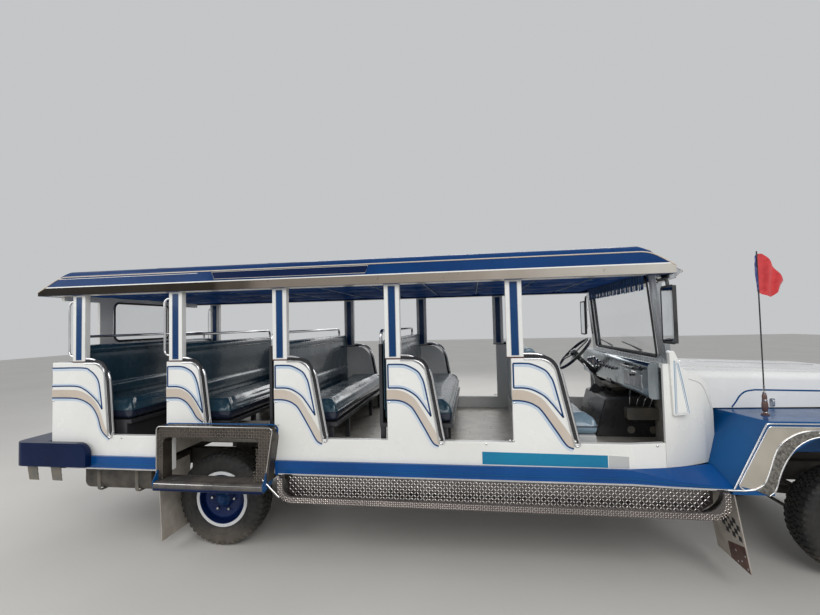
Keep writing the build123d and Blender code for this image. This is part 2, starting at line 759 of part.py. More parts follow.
ceiling_sheet = 18
with BuildPart() as ceiling_panel:
    box_between((roof_rear_x + roof_end_wall + 1, -roof_half + sheet + 1, ceiling_z),
                (roof_front_x - sheet - 1, roof_half - sheet - 1, ceiling_z + ceiling_sheet))
finish(ceiling_panel, "ceiling_panel")

# Sun visor: a pointed peak on the roof's front, bowed forward in plan

visor_side_reach = 61      # the peak's point ahead of the roof, at the sides
visor_bow = 180            # how much further it reaches in the middle
visor_half = roof_half - 50
visor_point_z = fascia_z + 17
visor_chin = 30            # how far the peak hangs below the roof's underside
visor_back = 24            # how far the chin reaches back under the roof
visor_steps = 6


def visor_section(share):
    """The peak's outline at a share of the half width: -1 is its right end, 1 its left end."""
    reach = visor_side_reach + visor_bow * (1 - share * share)
    back_x = roof_front_x - visor_back
    with BuildLine() as outline:
        Polyline((roof_front_x, brow_low_z), (roof_front_x + reach, visor_point_z),
                 (back_x + 0.6 * reach, fascia_z - visor_chin), (back_x, fascia_z - visor_chin),
                 (back_x, fascia_z - seat_gap), (roof_front_x, fascia_z - seat_gap), close=True)
    return outline.edges()


with BuildPart() as sun_visor:
    for step in range(visor_steps + 1):
        share = 2 * step / visor_steps - 1
        with BuildSketch(side_plane(-share * visor_half)):
            make_face(visor_section(share))
    loft(ruled=True)
finish(sun_visor, "sun_visor")


# Windshield: a raked frame and its pane

rake = atan(0.0855)
frame_foot_z = belt_z - 55            # top of the cowl
glass_foot_z = frame_foot_z + 30
glass_head_z = fascia_z
frame_half = cowl_half - 30
glass_half = frame_half - 133
frame_deep = 36
glass_plane = Plane(origin=(cab_x + 1038, 0, glass_foot_z), x_dir=(0, 1, 0), z_dir=(cos(rake), 0, sin(rake)))
pane_height = (glass_head_z - glass_foot_z) / cos(rake)

with BuildPart() as windshield_frame:
    with BuildSketch(glass_plane):
        with Locations((0, pane_height / 2)):
            Rectangle(2 * frame_half, pane_height + 200)
            RectangleRounded(2 * glass_half, pane_height, 25, mode=Mode.SUBTRACT)
    extrude(amount=frame_deep / 2, both=True)
    split(bisect_by=Plane.XY.offset(ceiling_z), keep=Keep.BOTTOM)
    split(bisect_by=Plane.XY.offset(frame_foot_z), keep=Keep.TOP)
finish(windshield_frame, "windshield_frame")

with BuildPart() as windshield_glass:
    with BuildSketch(glass_plane):
        with Locations((0, pane_height / 2)):
            RectangleRounded(2 * (glass_half - seat_gap), pane_height - 2 * seat_gap, 25 - seat_gap)
    extrude(amount=3, both=True)
finish(windshield_glass, "windshield_glass")


# Cowl: the body between the windshield and the hood

hood_seam_z = frame_foot_z - 68
hinge_z = hood_seam_z + 23            # hood hinge axis
hinge_y = 400
hinge_half = 30
hinge_radius = 10
hinge_pin_radius = 6
hinge_lug = 20
hood_rear_x = cab_x + 1180
hood_front_x = cab_x + 2630
hood_low_z = fender_top_z + moving_gap
seam_bulge_x = hood_rear_x + 128
seam_bulge_z = hood_seam_z - 57
seam_knee_z = hood_seam_z - 167
hood_rear_half = 640
hood_front_half = 545
cowl_rear_x = cab_x + cab_taper_end
seam_knee_x = hood_rear_x + 185
seam_foot_x = hood_rear_x + 210


def cowl_plan(inset):
    """The cowl's outline from above, curving in towards the hood."""
    half = cowl_half - inset
    with BuildLine() as outline:
        for side in (-1, 1):
            ThreePointArc((cowl_rear_x - 1, side * half), (cowl_rear_x + 240, side * (half - 92)),
                          (cowl_rear_x + 500, side * (half - 285)))
        Line((cowl_rear_x - 1, -half), (cowl_rear_x - 1, half))
        Line((cowl_rear_x + 500, 285 - half), (cowl_rear_x + 500, half - 285))
    return outline.edges()


with BuildPart() as cowl_bay:
    with BuildSketch(Plane.XY.offset(band_z)):
        make_face(cowl_plan(sheet))
    extrude(amount=frame_foot_z - band_z)
    with BuildSketch(side_plane(-half_width)):
        with BuildLine():
            Polyline((cowl_rear_x - 1, band_z), (cowl_rear_x - 1, frame_foot_z - sheet),
                     (cab_x + 1070, frame_foot_z - sheet), (hood_rear_x - 20, hood_seam_z - sheet),
                     (seam_foot_x, hood_seam_z - sheet), (seam_foot_x, band_z), close=True)
        make_face()
    extrude(amount=body_width, mode=Mode.INTERSECT)

with BuildPart() as cowl:
    with BuildSketch(Plane.XY.offset(band_z)):
        make_face(cowl_plan(0))
    extrude(amount=frame_foot_z - band_z)
    with BuildSketch(side_plane(-half_width)):
        with BuildLine():
            Polyline((seam_foot_x - moving_gap, band_z), (cowl_rear_x, band_z), (cowl_rear_x, frame_foot_z),
                     (cab_x + 1080, frame_foot_z), (hood_rear_x - moving_gap, hood_seam_z))
            ThreePointArc((hood_rear_x - moving_gap, hood_seam_z), (seam_bulge_x - moving_gap, seam_bulge_z),
                          (seam_knee_x - moving_gap, seam_knee_z))
            Polyline((seam_knee_x - moving_gap, seam_knee_z), (seam_foot_x - moving_gap, fender_top_z),
                     (seam_foot_x - moving_gap, band_z))
        make_face()
    extrude(amount=body_width, mode=Mode.INTERSECT)
    add(cowl_bay.part, mode=Mode.SUBTRACT)
    add(fender_block.part, mode=Mode.SUBTRACT)
    add(left_of(fender_block).part, mode=Mode.SUBTRACT)
    for side in (-1, 1):
        lug_y = side * (hinge_y + hinge_half + moving_gap)
        low_y, high_y = sorted((lug_y, lug_y + side * hinge_lug))
        lug_x = hood_rear_x - 60
        box_between((lug_x, low_y, hood_seam_z - 25), (hood_rear_x - 14, high_y, hinge_z))
        box_between((lug_x, low_y, hinge_z - hinge_radius), (hood_rear_x, high_y, hinge_z + hinge_radius))
        with BuildSketch(Plane(origin=(hood_rear_x, high_y, hinge_z), x_dir=(1, 0, 0), z_dir=(0, -1, 0))):
            Circle(hinge_radius)
        extrude(amount=hinge_lug)
        with BuildSketch(Plane(origin=(hood_rear_x, lug_y, hinge_z), x_dir=(1, 0, 0), z_dir=(0, -side, 0))):
            Circle(hinge_pin_radius)
        extrude(amount=2 * hinge_half + moving_gap)
finish(cowl, "cowl")


# Dashboard across the cowl's rear edge, notched for the steering column

dash_low_z = frame_foot_z - 250
dash_deep = 75
dash_half = cowl_half - 55
column_y = 450
wheel_centre = Vector(cab_x + 740, column_y, frame_foot_z - 45)
column_dir = Vector(cos(radians(45)), 0, -sin(radians(45)))

with BuildPart() as dashboard:
    box_between((cowl_rear_x - dash_deep, -dash_half, dash_low_z), (cowl_rear_x, dash_half, frame_foot_z))
    fillet(dashboard.edges().filter_by(Axis.Y).group_by(Axis.X)[0], radius=30)
    with BuildSketch(Plane(origin=wheel_centre, z_dir=column_dir)):
        Circle(50)
    extrude(amount=500, mode=Mode.SUBTRACT)
finish(dashboard, "dashboard")


# Steering column, with the wheel turning on its shaft

column_radius = 24
column_length = 590
hub_depth = 60
shaft_pin_radius = 11
wheel_radius = 205
wheel_tube = 14

with BuildPart() as steering_column:
    with BuildSketch(Plane(origin=wheel_centre + column_dir * 5, z_dir=column_dir)):
        Circle(column_radius)
    extrude(amount=column_length)
    with BuildSketch(Plane(origin=wheel_centre - column_dir * (hub_depth - 10), z_dir=column_dir)):
        Circle(shaft_pin_radius)
    extrude(amount=hub_depth)
    split(bisect_by=Plane.YZ.offset(toe_x - 20), keep=Keep.BOTTOM)
finish(steering_column, "steering_column")

with BuildPart() as steering_wheel:
    wheel_plane = Plane(origin=wheel_centre - column_dir * 30, x_dir=(0, 1, 0), z_dir=column_dir)
    with BuildSketch(Plane(origin=wheel_plane.origin, x_dir=(0, 1, 0), z_dir=wheel_plane.y_dir)):
        with Locations((wheel_radius, 0)):
            Circle(wheel_tube)
    revolve(axis=Axis(wheel_plane.origin, column_dir))
    with BuildSketch(wheel_plane.offset(-25)):
        Circle(34)
    extrude(amount=hub_depth - 8)
    with BuildSketch(wheel_plane.offset(-6)):
        for angle in (90, 210, 330):
            with Locations(Rot(0, 0, angle)):
                with Locations((wheel_radius / 2 + 6, 0)):
                    Rectangle(wheel_radius - 16, 30)
    extrude(amount=10)
    with BuildSketch(wheel_plane.offset(-30)):
        Circle(shaft_pin_radius + running_gap)
    extrude(amount=hub_depth + 20, mode=Mode.SUBTRACT)
finish(steering_wheel, "steering_wheel")


# Hood: crowned top with upright sides, hinged at the cowl

hood_wall = 20
hood_crown_z = hood_seam_z + 13
hood_nose_z = hood_crown_z - 55
hood_camber = 22           # fall from the centre line to the shoulders
hood_shoulder = 55


def hood_form(inset, overrun):
    """The hood's closed form, smaller all round by inset and longer at both ends by overrun."""
    rear = (hood_rear_x - overrun, hood_rear_half - inset)
    front = (hood_front_x + overrun, hood_front_half - inset)
    fall = Vector(hood_front_x - hood_rear_x, 0, hood_nose_z - hood_crown_z)
    low_z = hood_low_z - overrun
    with BuildPart() as form:
        with BuildSketch(Plane.XY.offset(low_z)):
            with BuildLine():
                Polyline((rear[0], -rear[1]), (front[0], -front[1]), front, rear, close=True)
            make_face()
        extrude(amount=hood_crown_z - low_z)
        with BuildSketch(Plane(origin=(hood_rear_x, 0, hood_crown_z - inset), x_dir=(0, 1, 0), z_dir=fall)):
            with BuildLine():
                ThreePointArc((-hood_rear_half, -hood_camber), (0, 0), (hood_rear_half, -hood_camber))
                Polyline((hood_rear_half, -hood_camber), (hood_rear_half, -hood_crown_z),
                         (-hood_rear_half, -hood_crown_z), (-hood_rear_half, -hood_camber))
            make_face()
        extrude(amount=2 * hood_crown_z, both=True, mode=Mode.INTERSECT)
        fillet(form.edges().filter_by_position(Axis.Z, hood_nose_z - 100, hood_crown_z).filter_by(
            lambda edge: edge.length > hood_front_x - hood_rear_x - 1), radius=hood_shoulder - inset)
    return form


with BuildPart() as hood:
    add(hood_form(0, 0).part)
    with BuildSketch(side_plane(-half_width)):
        with BuildLine():
            Line((hood_rear_x, hood_seam_z + 60), (hood_rear_x, hood_seam_z))
            ThreePointArc((hood_rear_x, hood_seam_z), (seam_bulge_x, seam_bulge_z),
                          (seam_knee_x, seam_knee_z))
            Polyline((seam_knee_x, seam_knee_z), (seam_foot_x, hood_low_z), (hood_front_x, hood_low_z),
                     (hood_front_x, hood_seam_z + 60), (hood_rear_x, hood_seam_z + 60))
        make_face()
    extrude(amount=body_width, mode=Mode.INTERSECT)
    add(hood_form(hood_wall, 1).part, mode=Mode.SUBTRACT)
    for side in (-1, 1):
        low_y, high_y = side * hinge_y - hinge_half, side * hinge_y + hinge_half
        box_between((hood_rear_x + 2, low_y, hood_seam_z), (hood_rear_x + 60, high_y, hinge_z - 2))
        with BuildSketch(Plane(origin=(hood_rear_x, high_y, hinge_z), x_dir=(1, 0, 0), z_dir=(0, -1, 0))):
            Circle(hinge_radius)
        extrude(amount=2 * hinge_half)
        with BuildSketch(Plane(origin=(hood_rear_x, high_y, hinge_z), x_dir=(1, 0, 0), z_dir=(0, -1, 0))):
            Circle(hinge_pin_radius + running_gap)
        extrude(amount=2 * hinge_half, mode=Mode.SUBTRACT)
finish(hood, "hood")


# Grille: a slotted shell in front of the radiator

grille_x = hood_front_x + moving_gap
grille_deep = 70
grille_low_z = skirt_z + 10
grille_high_z = hood_nose_z - 15
grille_half = 560
slot_count = 9
slot_pitch = 70
slot_width = 38
slot_low_z = grille_low_z + 25
slot_high_z = grille_high_z - 150
lamp_y = 430
lamp_z = fender_top_z - 90
lamp_radius = 95
grille_plane = Plane(origin=(grille_x, 0, 0), x_dir=(0, 1, 0), z_dir=(1, 0, 0))

with BuildPart() as grille:
    with BuildSketch(grille_plane):
        with Locations((0, (grille_low_z + grille_high_z) / 2)):
            RectangleRounded(2 * grille_half, grille_high_z - grille_low_z, 60)
        with Locations((0, (grille_low_z + fender_top_z) / 2)):
            Rectangle(2 * fender_inner_y, fender_top_z - grille_low_z)
        with Locations((0, (slot_low_z + slot_high_z) / 2)):
            with GridLocations(slot_pitch, 0, slot_count, 1):
                RectangleRounded(slot_width, slot_high_z - slot_low_z, slot_width / 2 - 0.5,
                                 mode=Mode.SUBTRACT)
    extrude(amount=grille_deep)
finish(grille, "grille")

with BuildPart() as front_lamps:
    for y, z, x, radius, deep in ((lamp_y, lamp_z, grille_x + grille_deep, lamp_radius, 60),
                                  (fender_half - 220, fender_top_z - 140, fender_front_x, 45, 28)):
        for side in (-1, 1):
            with BuildSketch(Plane(origin=(x, side * y, z), z_dir=(1, 0, 0))):
                Circle(radius)
            extrude(amount=deep)
finish(front_lamps, "front_lamps")

tail_lamp_width = 90
tail_lamp_height = 170
tail_lamp_deep = 25
with BuildPart() as rear_lamps:
    with BuildSketch(wall_plane):
        for side in (-1, 1):
            with Locations((side * (inner_y - tail_lamp_width), sill_z + tail_lamp_height / 2 + 20)):
                RectangleRounded(tail_lamp_width, tail_lamp_height, 20)
    extrude(amount=-tail_lamp_deep)
finish(rear_lamps, "rear_lamps")

with BuildPart() as radiator:
    box_between((grille_x - 96, -rail_gap / 2 + 10, rail_top_z - member_high),
                (grille_x - seat_gap, rail_gap / 2 - 10, slot_high_z + 30))
finish(radiator, "radiator")


# Bumpers

bumper_deep = 60
front_bumper_low_z = rail_low_z - 45
front_bumper_high_z = skirt_z - 15
with BuildPart() as front_bumper:
    box_between((front_x - bumper_deep, -fender_half, front_bumper_low_z),
                (front_x, fender_half, front_bumper_high_z))
    fillet(front_bumper.edges().filter_by(Axis.Z).group_by(Axis.X)[-1], radius=50)
finish(front_bumper, "front_bumper")

rear_bumper_half = half_width + 80
rear_bumper_low_z = skirt_z + 25
rear_bumper_top_z = skirt_z + 215
bumper_wrap = 150          # how far its ends run forward of the rearmost pillar
bumper_sheet = 20

with BuildPart() as rear_bumper:
    back_x = first_pillar_x - rear_wall_back
    arm_inner_y = half_width + band_proud
    with BuildSketch(Plane.XY.offset(rear_bumper_low_z)):
        with BuildLine():
            Polyline((back_x, -half_width), (back_x, half_width), (back_x, rear_bumper_half),
                     (rear_x, rear_bumper_half), (rear_x, -rear_bumper_half), (back_x, -rear_bumper_half),
                     (back_x, -half_width))
        make_face()
        arm_end_x = first_pillar_x + bumper_wrap
        for side in (-1, 1):
            with Locations(((back_x + arm_end_x) / 2, side * (arm_inner_y + rear_bumper_half) / 2)):
                Rectangle(arm_end_x - back_x, rear_bumper_half - arm_inner_y)
    extrude(amount=rear_bumper_top_z - rear_bumper_low_z)
    fillet(rear_bumper.edges().filter_by(Axis.Z).group_by(Axis.X)[0], radius=90)
    fillet(rear_bumper.edges().filter_by(Axis.Y).group_by(Axis.X)[-1].group_by(Axis.Z)[-1], radius=90)
    with BuildSketch(Plane.XY.offset(rear_bumper_low_z)):
        with Locations(((rear_x + bumper_sheet + back_x - bumper_sheet) / 2, 0)):
            RectangleRounded(back_x - rear_x - 2 * bumper_sheet, 2 * (rear_bumper_half - bumper_sheet), 70)
    extrude(amount=rear_bumper_top_z - rear_bumper_low_z - bumper_sheet, mode=Mode.SUBTRACT)
finish(rear_bumper, "rear_bumper")


# Running boards: long troughs of tread plate below the sides

board_rear_x = first_pillar_x + arch_front + 140
board_front_x = cab_x + 1285
board_half = half_width + 110
board_low_z = skirt_z - 170
board_turn = 120
board_sheet = 12
lip_height = 46
board_inner_y = half_width + 4


def board_band(thick):
    """The trough's long profile: a flat run that curves up at both ends."""
    with BuildLine() as outline:
        rise = skirt_z - board_low_z
        Line((board_rear_x, skirt_z), (board_rear_x, board_low_z + board_turn))
        ThreePointArc((board_rear_x, board_low_z + board_turn),
                      (board_rear_x + 0.293 * board_turn, board_low_z + 0.293 * board_turn),
                      (board_rear_x + board_turn, board_low_z))
        Line((board_rear_x + board_turn, board_low_z), (board_front_x - rise, board_low_z))
        ThreePointArc((board_front_x - rise, board_low_z),
                      (board_front_x - 0.293 * rise, board_low_z + 0.293 * rise), (board_front_x, skirt_z))
        Line((board_front_x, skirt_z), (board_front_x - thick, skirt_z))
        inner = rise - thick
        ThreePointArc((board_front_x - thick, skirt_z),
                      (board_front_x - thick - 0.293 * inner, board_low_z + thick + 0.293 * inner),
                      (board_front_x - thick - inner, board_low_z + thick))
        Line((board_front_x - thick - inner, board_low_z + thick),
             (board_rear_x + board_turn, board_low_z + thick))
        turn = board_turn - thick
        ThreePointArc((board_rear_x + board_turn, board_low_z + thick),
                      (board_rear_x + thick + 0.293 * turn, board_low_z + thick + 0.293 * turn),
                      (board_rear_x + thick, board_low_z + board_turn))
        Line((board_rear_x + thick, board_low_z + board_turn), (board_rear_x + thick, skirt_z))
        Line((board_rear_x + thick, skirt_z), (board_rear_x, skirt_z))
    return outline.edges()


with BuildPart() as running_boards:
    with BuildSketch(side_plane(board_inner_y)):
        make_face(board_band(board_sheet))
    extrude(amount=board_half - board_inner_y)
    with BuildSketch(side_plane(board_half - 14)):
        make_face(board_band(lip_height))
    extrude(amount=14)
    with BuildSketch(side_plane(board_inner_y)):
        with BuildLine():
            Polyline((board_rear_x + 40, skirt_z), (board_rear_x + 40, board_low_z + 60),
                     (board_rear_x + 100, board_low_z + 6), (board_front_x - 150, board_low_z + 6),
                     (board_front_x - 60, board_low_z + 70), (board_front_x - 60, skirt_z), close=True)
        make_face()
    extrude(amount=8)
    mirror(about=Plane.XZ)
finish(running_boards, "running_boards")


# Wheel arch surrounds and the steps hung across them

arch_out_y = half_width + 100
surround_low_z = skirt_z - 35
surround_corner = 90
surround_inner_corner = 50

with BuildPart() as wheel_arches:
    with BuildSketch(side_plane(half_width)):
        with BuildLine():
            outer = FilletPolyline((first_pillar_x + arch_rear - 60, surround_low_z),
                                   (first_pillar_x + arch_rear - 60, arch_box_top_z),
                                   (first_pillar_x + arch_front + 120, arch_box_top_z),
                                   (first_pillar_x + arch_front + 60, surround_low_z), radius=surround_corner)
            inner = FilletPolyline((first_pillar_x + arch_front - 40, surround_low_z),
                                   (first_pillar_x + arch_front, arch_top_z),
                                   (first_pillar_x + arch_rear, arch_top_z),
                                   (first_pillar_x + arch_rear, surround_low_z), radius=surround_inner_corner)
            Line(outer @ 1, inner @ 0)
            Line(inner @ 1, outer @ 0)
        make_face()
    extrude(amount=arch_out_y - half_width)
    box_between((pillar_x[1] + swoop_table[1][2], -half_width, arch_top_z),
                (first_pillar_x + arch_front, -inner_y, arch_box_top_z))
    mirror(about=Plane.XZ)
finish(wheel_arches, "wheel_arches")

step_rear_x = first_pillar_x + arch_rear - 38
step_front_x = first_pillar_x + arch_front + 50
step_out_y = half_width + 160
step_top_z = surround_low_z - seat_gap
step_roll = 32             # radius of the rolled edge
step_sheet = 20

with BuildPart() as arch_steps:
    with BuildSketch(Plane(origin=(step_rear_x, 0, 0), x_dir=(0, 1, 0), z_dir=(1, 0, 0))):
        with BuildLine():
            root_y = 10 - half_width
            roll_y = step_roll - step_out_y
            Line((root_y, step_top_z), (roll_y, step_top_z))
            ThreePointArc((roll_y, step_top_z), (-step_out_y, step_top_z - step_roll),
                          (roll_y, step_top_z - 2 * step_roll))
            Polyline((roll_y, step_top_z - 2 * step_roll), (roll_y, step_top_z - step_sheet),
                     (root_y, step_top_z - step_sheet), (root_y, step_top_z))
        make_face()
    extrude(amount=step_front_x - step_rear_x)
    mirror(about=Plane.XZ)
finish(arch_steps, "arch_steps")


# Mud flaps behind the wheels

flap_sheet = 6
with BuildPart() as mud_flaps:
    # x of its head, inner y, outer y, foot height, head height, how far the foot swings forward
    for x, inner, outer, foot_z, head_z, swing in (
            (first_pillar_x + arch_rear - 138, housing_inner_y + 40, half_width - 20, 90, skirt_z, 30),
            (cab_x + 1325, fender_inner_y + 40, fender_half - 20, 130, fender_low_z, 80)):
        with BuildSketch(side_plane(inner)):
            with BuildLine():
                Polyline((x, head_z), (x + flap_sheet, head_z), (x + swing + flap_sheet, foot_z),
                         (x + swing, foot_z), close=True)
            make_face()
        extrude(amount=outer - inner)
    mirror(about=Plane.XZ)
finish(mud_flaps, "mud_flaps")


# Benches: one in each bay, facing forward

bench_half = inner_y - 15
cushion_deep = 430
cushion_thick = 155
cushion_low_z = floor_z + 230
cushion_high_z = cushion_low_z + cushion_thick
back_thick = 95
back_high_z = cushion_high_z + 475
pan_thick = 30
board_thick = 25
board_drop = 40            # backboard's top below the backrest's
leg_side = 35
bench_x = pillar_x[:bay_count]

with BuildPart() as bench_cushions:
    for x in bench_x:
        box_between((x + seat_gap, -bench_half, cushion_low_z),
                    (x + cushion_deep, bench_half, cushion_high_z))
finish(bench_cushions, "bench_cushions")

with BuildPart() as bench_backs:
    for x in bench_x:
        box_between((x - back_thick, -bench_half, cushion_low_z), (x, bench_half, back_high_z))
finish(bench_backs, "bench_backs")

with BuildPart() as bench_frames:
    for x in bench_x:
        board_x = x - back_thick - board_thick
        box_between((board_x, -bench_half, cushion_low_z - pan_thick),
                    (x + cushion_deep, bench_half, cushion_low_z))
        box_between((board_x, -bench_half, cushion_low_z - pan_thick),
                    (x - back_thick, bench_half, back_high_z - board_drop))
        if x == first_pillar_x:
            box_between((board_x + 20, -bench_half, floor_z),
                        (x + cushion_deep - 40, bench_half, cushion_low_z - pan_thick))
        else:
            for leg_x in (board_x, x + cushion_deep - 80):
                for y in (-bench_half + 40, -420, 420, bench_half - 40):
                    along = first_pillar_x + housing_rear - leg_side < leg_x < first_pillar_x + housing_front
                    over_housing = along and abs(y) > housing_inner_y
                    foot_z = housing_top_z if over_housing else floor_z
                    box_between((leg_x, y - leg_side / 2, foot_z),
                                (leg_x + leg_side, y + leg_side / 2, cushion_low_z - pan_thick))
finish(bench_frames, "bench_frames")

grab_radius = 12
grab_rise = 60
with BuildPart() as bench_rails:
    for x in bench_x:
        board_mid = x - back_thick - board_thick / 2
        foot_z = back_high_z - board_drop
        end_y = bench_half - 40
        with BuildLine() as path:
            FilletPolyline((board_mid, -end_y, foot_z), (board_mid, -end_y, back_high_z + grab_rise),
                           (board_mid, end_y, back_high_z + grab_rise), (board_mid, end_y, foot_z), radius=50)
        with BuildSketch(Plane(origin=path.line @ 0, z_dir=path.line % 0)):
            Circle(grab_radius)
        sweep(path=path.line)
finish(bench_rails, "bench_rails")


# Front seats on their boxes, and the engine cover between the footwells

seat_rear = 160            # from the foremost pillar
seat_front = 580
seat_back_x = cab_x + seat_rear - 90
seat_box_high_z = floor_z + 150
seat_high_z = seat_box_high_z + 135
seat_back_z = seat_high_z + 515
# right edge, left edge of each seat
seat_rows = ((50 - inner_y, -60), (200, inner_y - 140))

with BuildPart() as front_seat_boxes:
    for low_y, high_y in seat_rows:
        box_between((seat_back_x, low_y, floor_z), (cab_x + seat_front - 30, high_y, seat_box_high_z))
finish(front_seat_boxes, "front_seat_boxes")

with BuildPart() as front_seats:
    for low_y, high_y in seat_rows:
        box_between((cab_x + seat_rear + seat_gap, low_y, seat_box_high_z),
                    (cab_x + seat_front, high_y, seat_high_z))
        box_between((seat_back_x, low_y, seat_box_high_z), (cab_x + seat_rear, high_y, seat_back_z))
finish(front_seats, "front_seats")

with BuildPart() as engine_cover:
    with BuildSketch(side_plane(-300)):
        with BuildLine():
            Polyline((cab_x + 690, floor_z), (cab_x + 780, floor_z + 310), (toe_x - 20, floor_z + 360),
                     (toe_x - 20, floor_z), close=True)
        make_face()
    extrude(amount=600)
finish(engine_cover, "engine_cover")


# Door mirrors on tube arms from the windshield posts

mirror_x = cab_x + 1016
mirror_y = half_width + 100
mirror_width = 170
mirror_height = 370
mirror_mid_z = frame_foot_z + 335
arm_radius = 11
arm_foot = (mirror_x - 25, -frame_half, fascia_z - 35)

with BuildPart() as mirrors:
    arm_y = -mirror_y + mirror_width / 2 - 40
    with BuildLine() as path:
        FilletPolyline(arm_foot, (arm_foot[0], arm_y, arm_foot[2]),
                       (arm_foot[0], arm_y, mirror_mid_z - mirror_height / 2 + 60), radius=40)
    with BuildSketch(Plane(origin=path.line @ 0, z_dir=path.line % 0)):
        Circle(arm_radius)
    sweep(path=path.line)
    plate_x = arm_foot[0] - arm_radius
    box_between((plate_x - 14, -mirror_y - mirror_width / 2, mirror_mid_z - mirror_height / 2),
                (plate_x + 6, -mirror_y + mirror_width / 2, mirror_mid_z + mirror_height / 2))
    mirror(about=Plane.XZ)
finish(mirrors, "mirrors")


# Mast on the right fender: a turned grip under a thin rod

mast_x = cab_x + 1640
mast_y = 190 - fender_half
mast_height = 1110
grip_height = 150

with BuildPart() as fender_mast:
    with BuildSketch(Plane(origin=(mast_x, mast_y, fender_top_z), x_dir=(1, 0, 0), z_dir=(0, -1, 0))):
        with BuildLine():
            Polyline((0, 0), (24, 0), (24, 8), (11, 16))
            ThreePointArc((11, 16), (19, 55), (13, 100))
            ThreePointArc((13, 100), (15, 118), (7, grip_height))
            Polyline((7, grip_height), (3, grip_height), (3, mast_height), (0, mast_height), (0, 0))
        make_face()
    revolve(axis=Axis((mast_x, mast_y, 0), (0, 0, 1)))
finish(fender_mast, "fender_mast")
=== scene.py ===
from collections import namedtuple
from math import cos, pi, radians, sin, tan

import bmesh
import bpy
from mathutils import Matrix, Vector
from mathutils.bvhtree import BVHTree


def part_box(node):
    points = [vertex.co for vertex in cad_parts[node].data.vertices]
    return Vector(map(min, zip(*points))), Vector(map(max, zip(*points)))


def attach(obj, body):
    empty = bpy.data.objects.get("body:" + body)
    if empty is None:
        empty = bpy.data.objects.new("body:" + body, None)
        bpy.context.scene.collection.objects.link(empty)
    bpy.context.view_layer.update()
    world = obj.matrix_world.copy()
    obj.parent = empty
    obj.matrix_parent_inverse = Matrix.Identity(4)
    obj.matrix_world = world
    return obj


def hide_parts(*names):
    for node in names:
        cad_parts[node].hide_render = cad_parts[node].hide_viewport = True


# A long open-sided jeepney. Metres: X runs forward, Y to the vehicle's left, Z up from the ground.

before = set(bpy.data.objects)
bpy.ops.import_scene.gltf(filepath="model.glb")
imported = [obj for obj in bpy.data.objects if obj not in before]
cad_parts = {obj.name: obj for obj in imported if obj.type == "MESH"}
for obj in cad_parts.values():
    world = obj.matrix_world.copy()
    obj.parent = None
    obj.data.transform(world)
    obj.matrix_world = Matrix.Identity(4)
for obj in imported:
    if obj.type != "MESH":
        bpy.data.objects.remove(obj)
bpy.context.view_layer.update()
scene = bpy.context.scene
scene.view_settings.view_transform = "Standard"


# Camera, solved from the photograph's straight lines

def aim_camera():
    """A camera at the photographer's place, with its own turn, tilt and roll."""
    place = Vector((0.2207, -3.9858, 1.769))
    turn, tilt, roll = 0.14502, 0.03856, -0.02285  # radians
    level = Vector((-sin(turn), cos(turn), 0))
    forward = level * cos(tilt) + Vector((0, 0, sin(tilt)))
    side = forward.cross(Vector((0, 0, 1))).normalized()
    right = Matrix.Rotation(-roll, 3, forward) @ side
    up = right.cross(forward)
    data = bpy.data.cameras.new("camera")
    data.lens = 18.357
    data.sensor_width = 36
    data.clip_end = 200
    camera = bpy.data.objects.new("camera", data)
    camera.matrix_world = Matrix((
        (right.x, up.x, -forward.x, place.x),
        (right.y, up.y, -forward.y, place.y),
        (right.z, up.z, -forward.z, place.z),
        (0, 0, 0, 1)))
    scene.collection.objects.link(camera)
    scene.camera = camera


aim_camera()


# Places taken from the frame

PILLAR_HALF = 0.0575  # half of a pillar's length
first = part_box("pillars")[0].x + PILLAR_HALF
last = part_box("pillars")[1].x - PILLAR_HALF
BAY = (last - first) / 4
PILLARS = [first + n * BAY for n in range(5)]
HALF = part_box("pillars")[1].y
SILL_Z = 0.920  # the side panels' foot
BELT_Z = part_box("pillars")[0].z
ROOF_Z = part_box("pillars")[1].z


# Materials

DUST = (0.33, 0.28, 0.22)


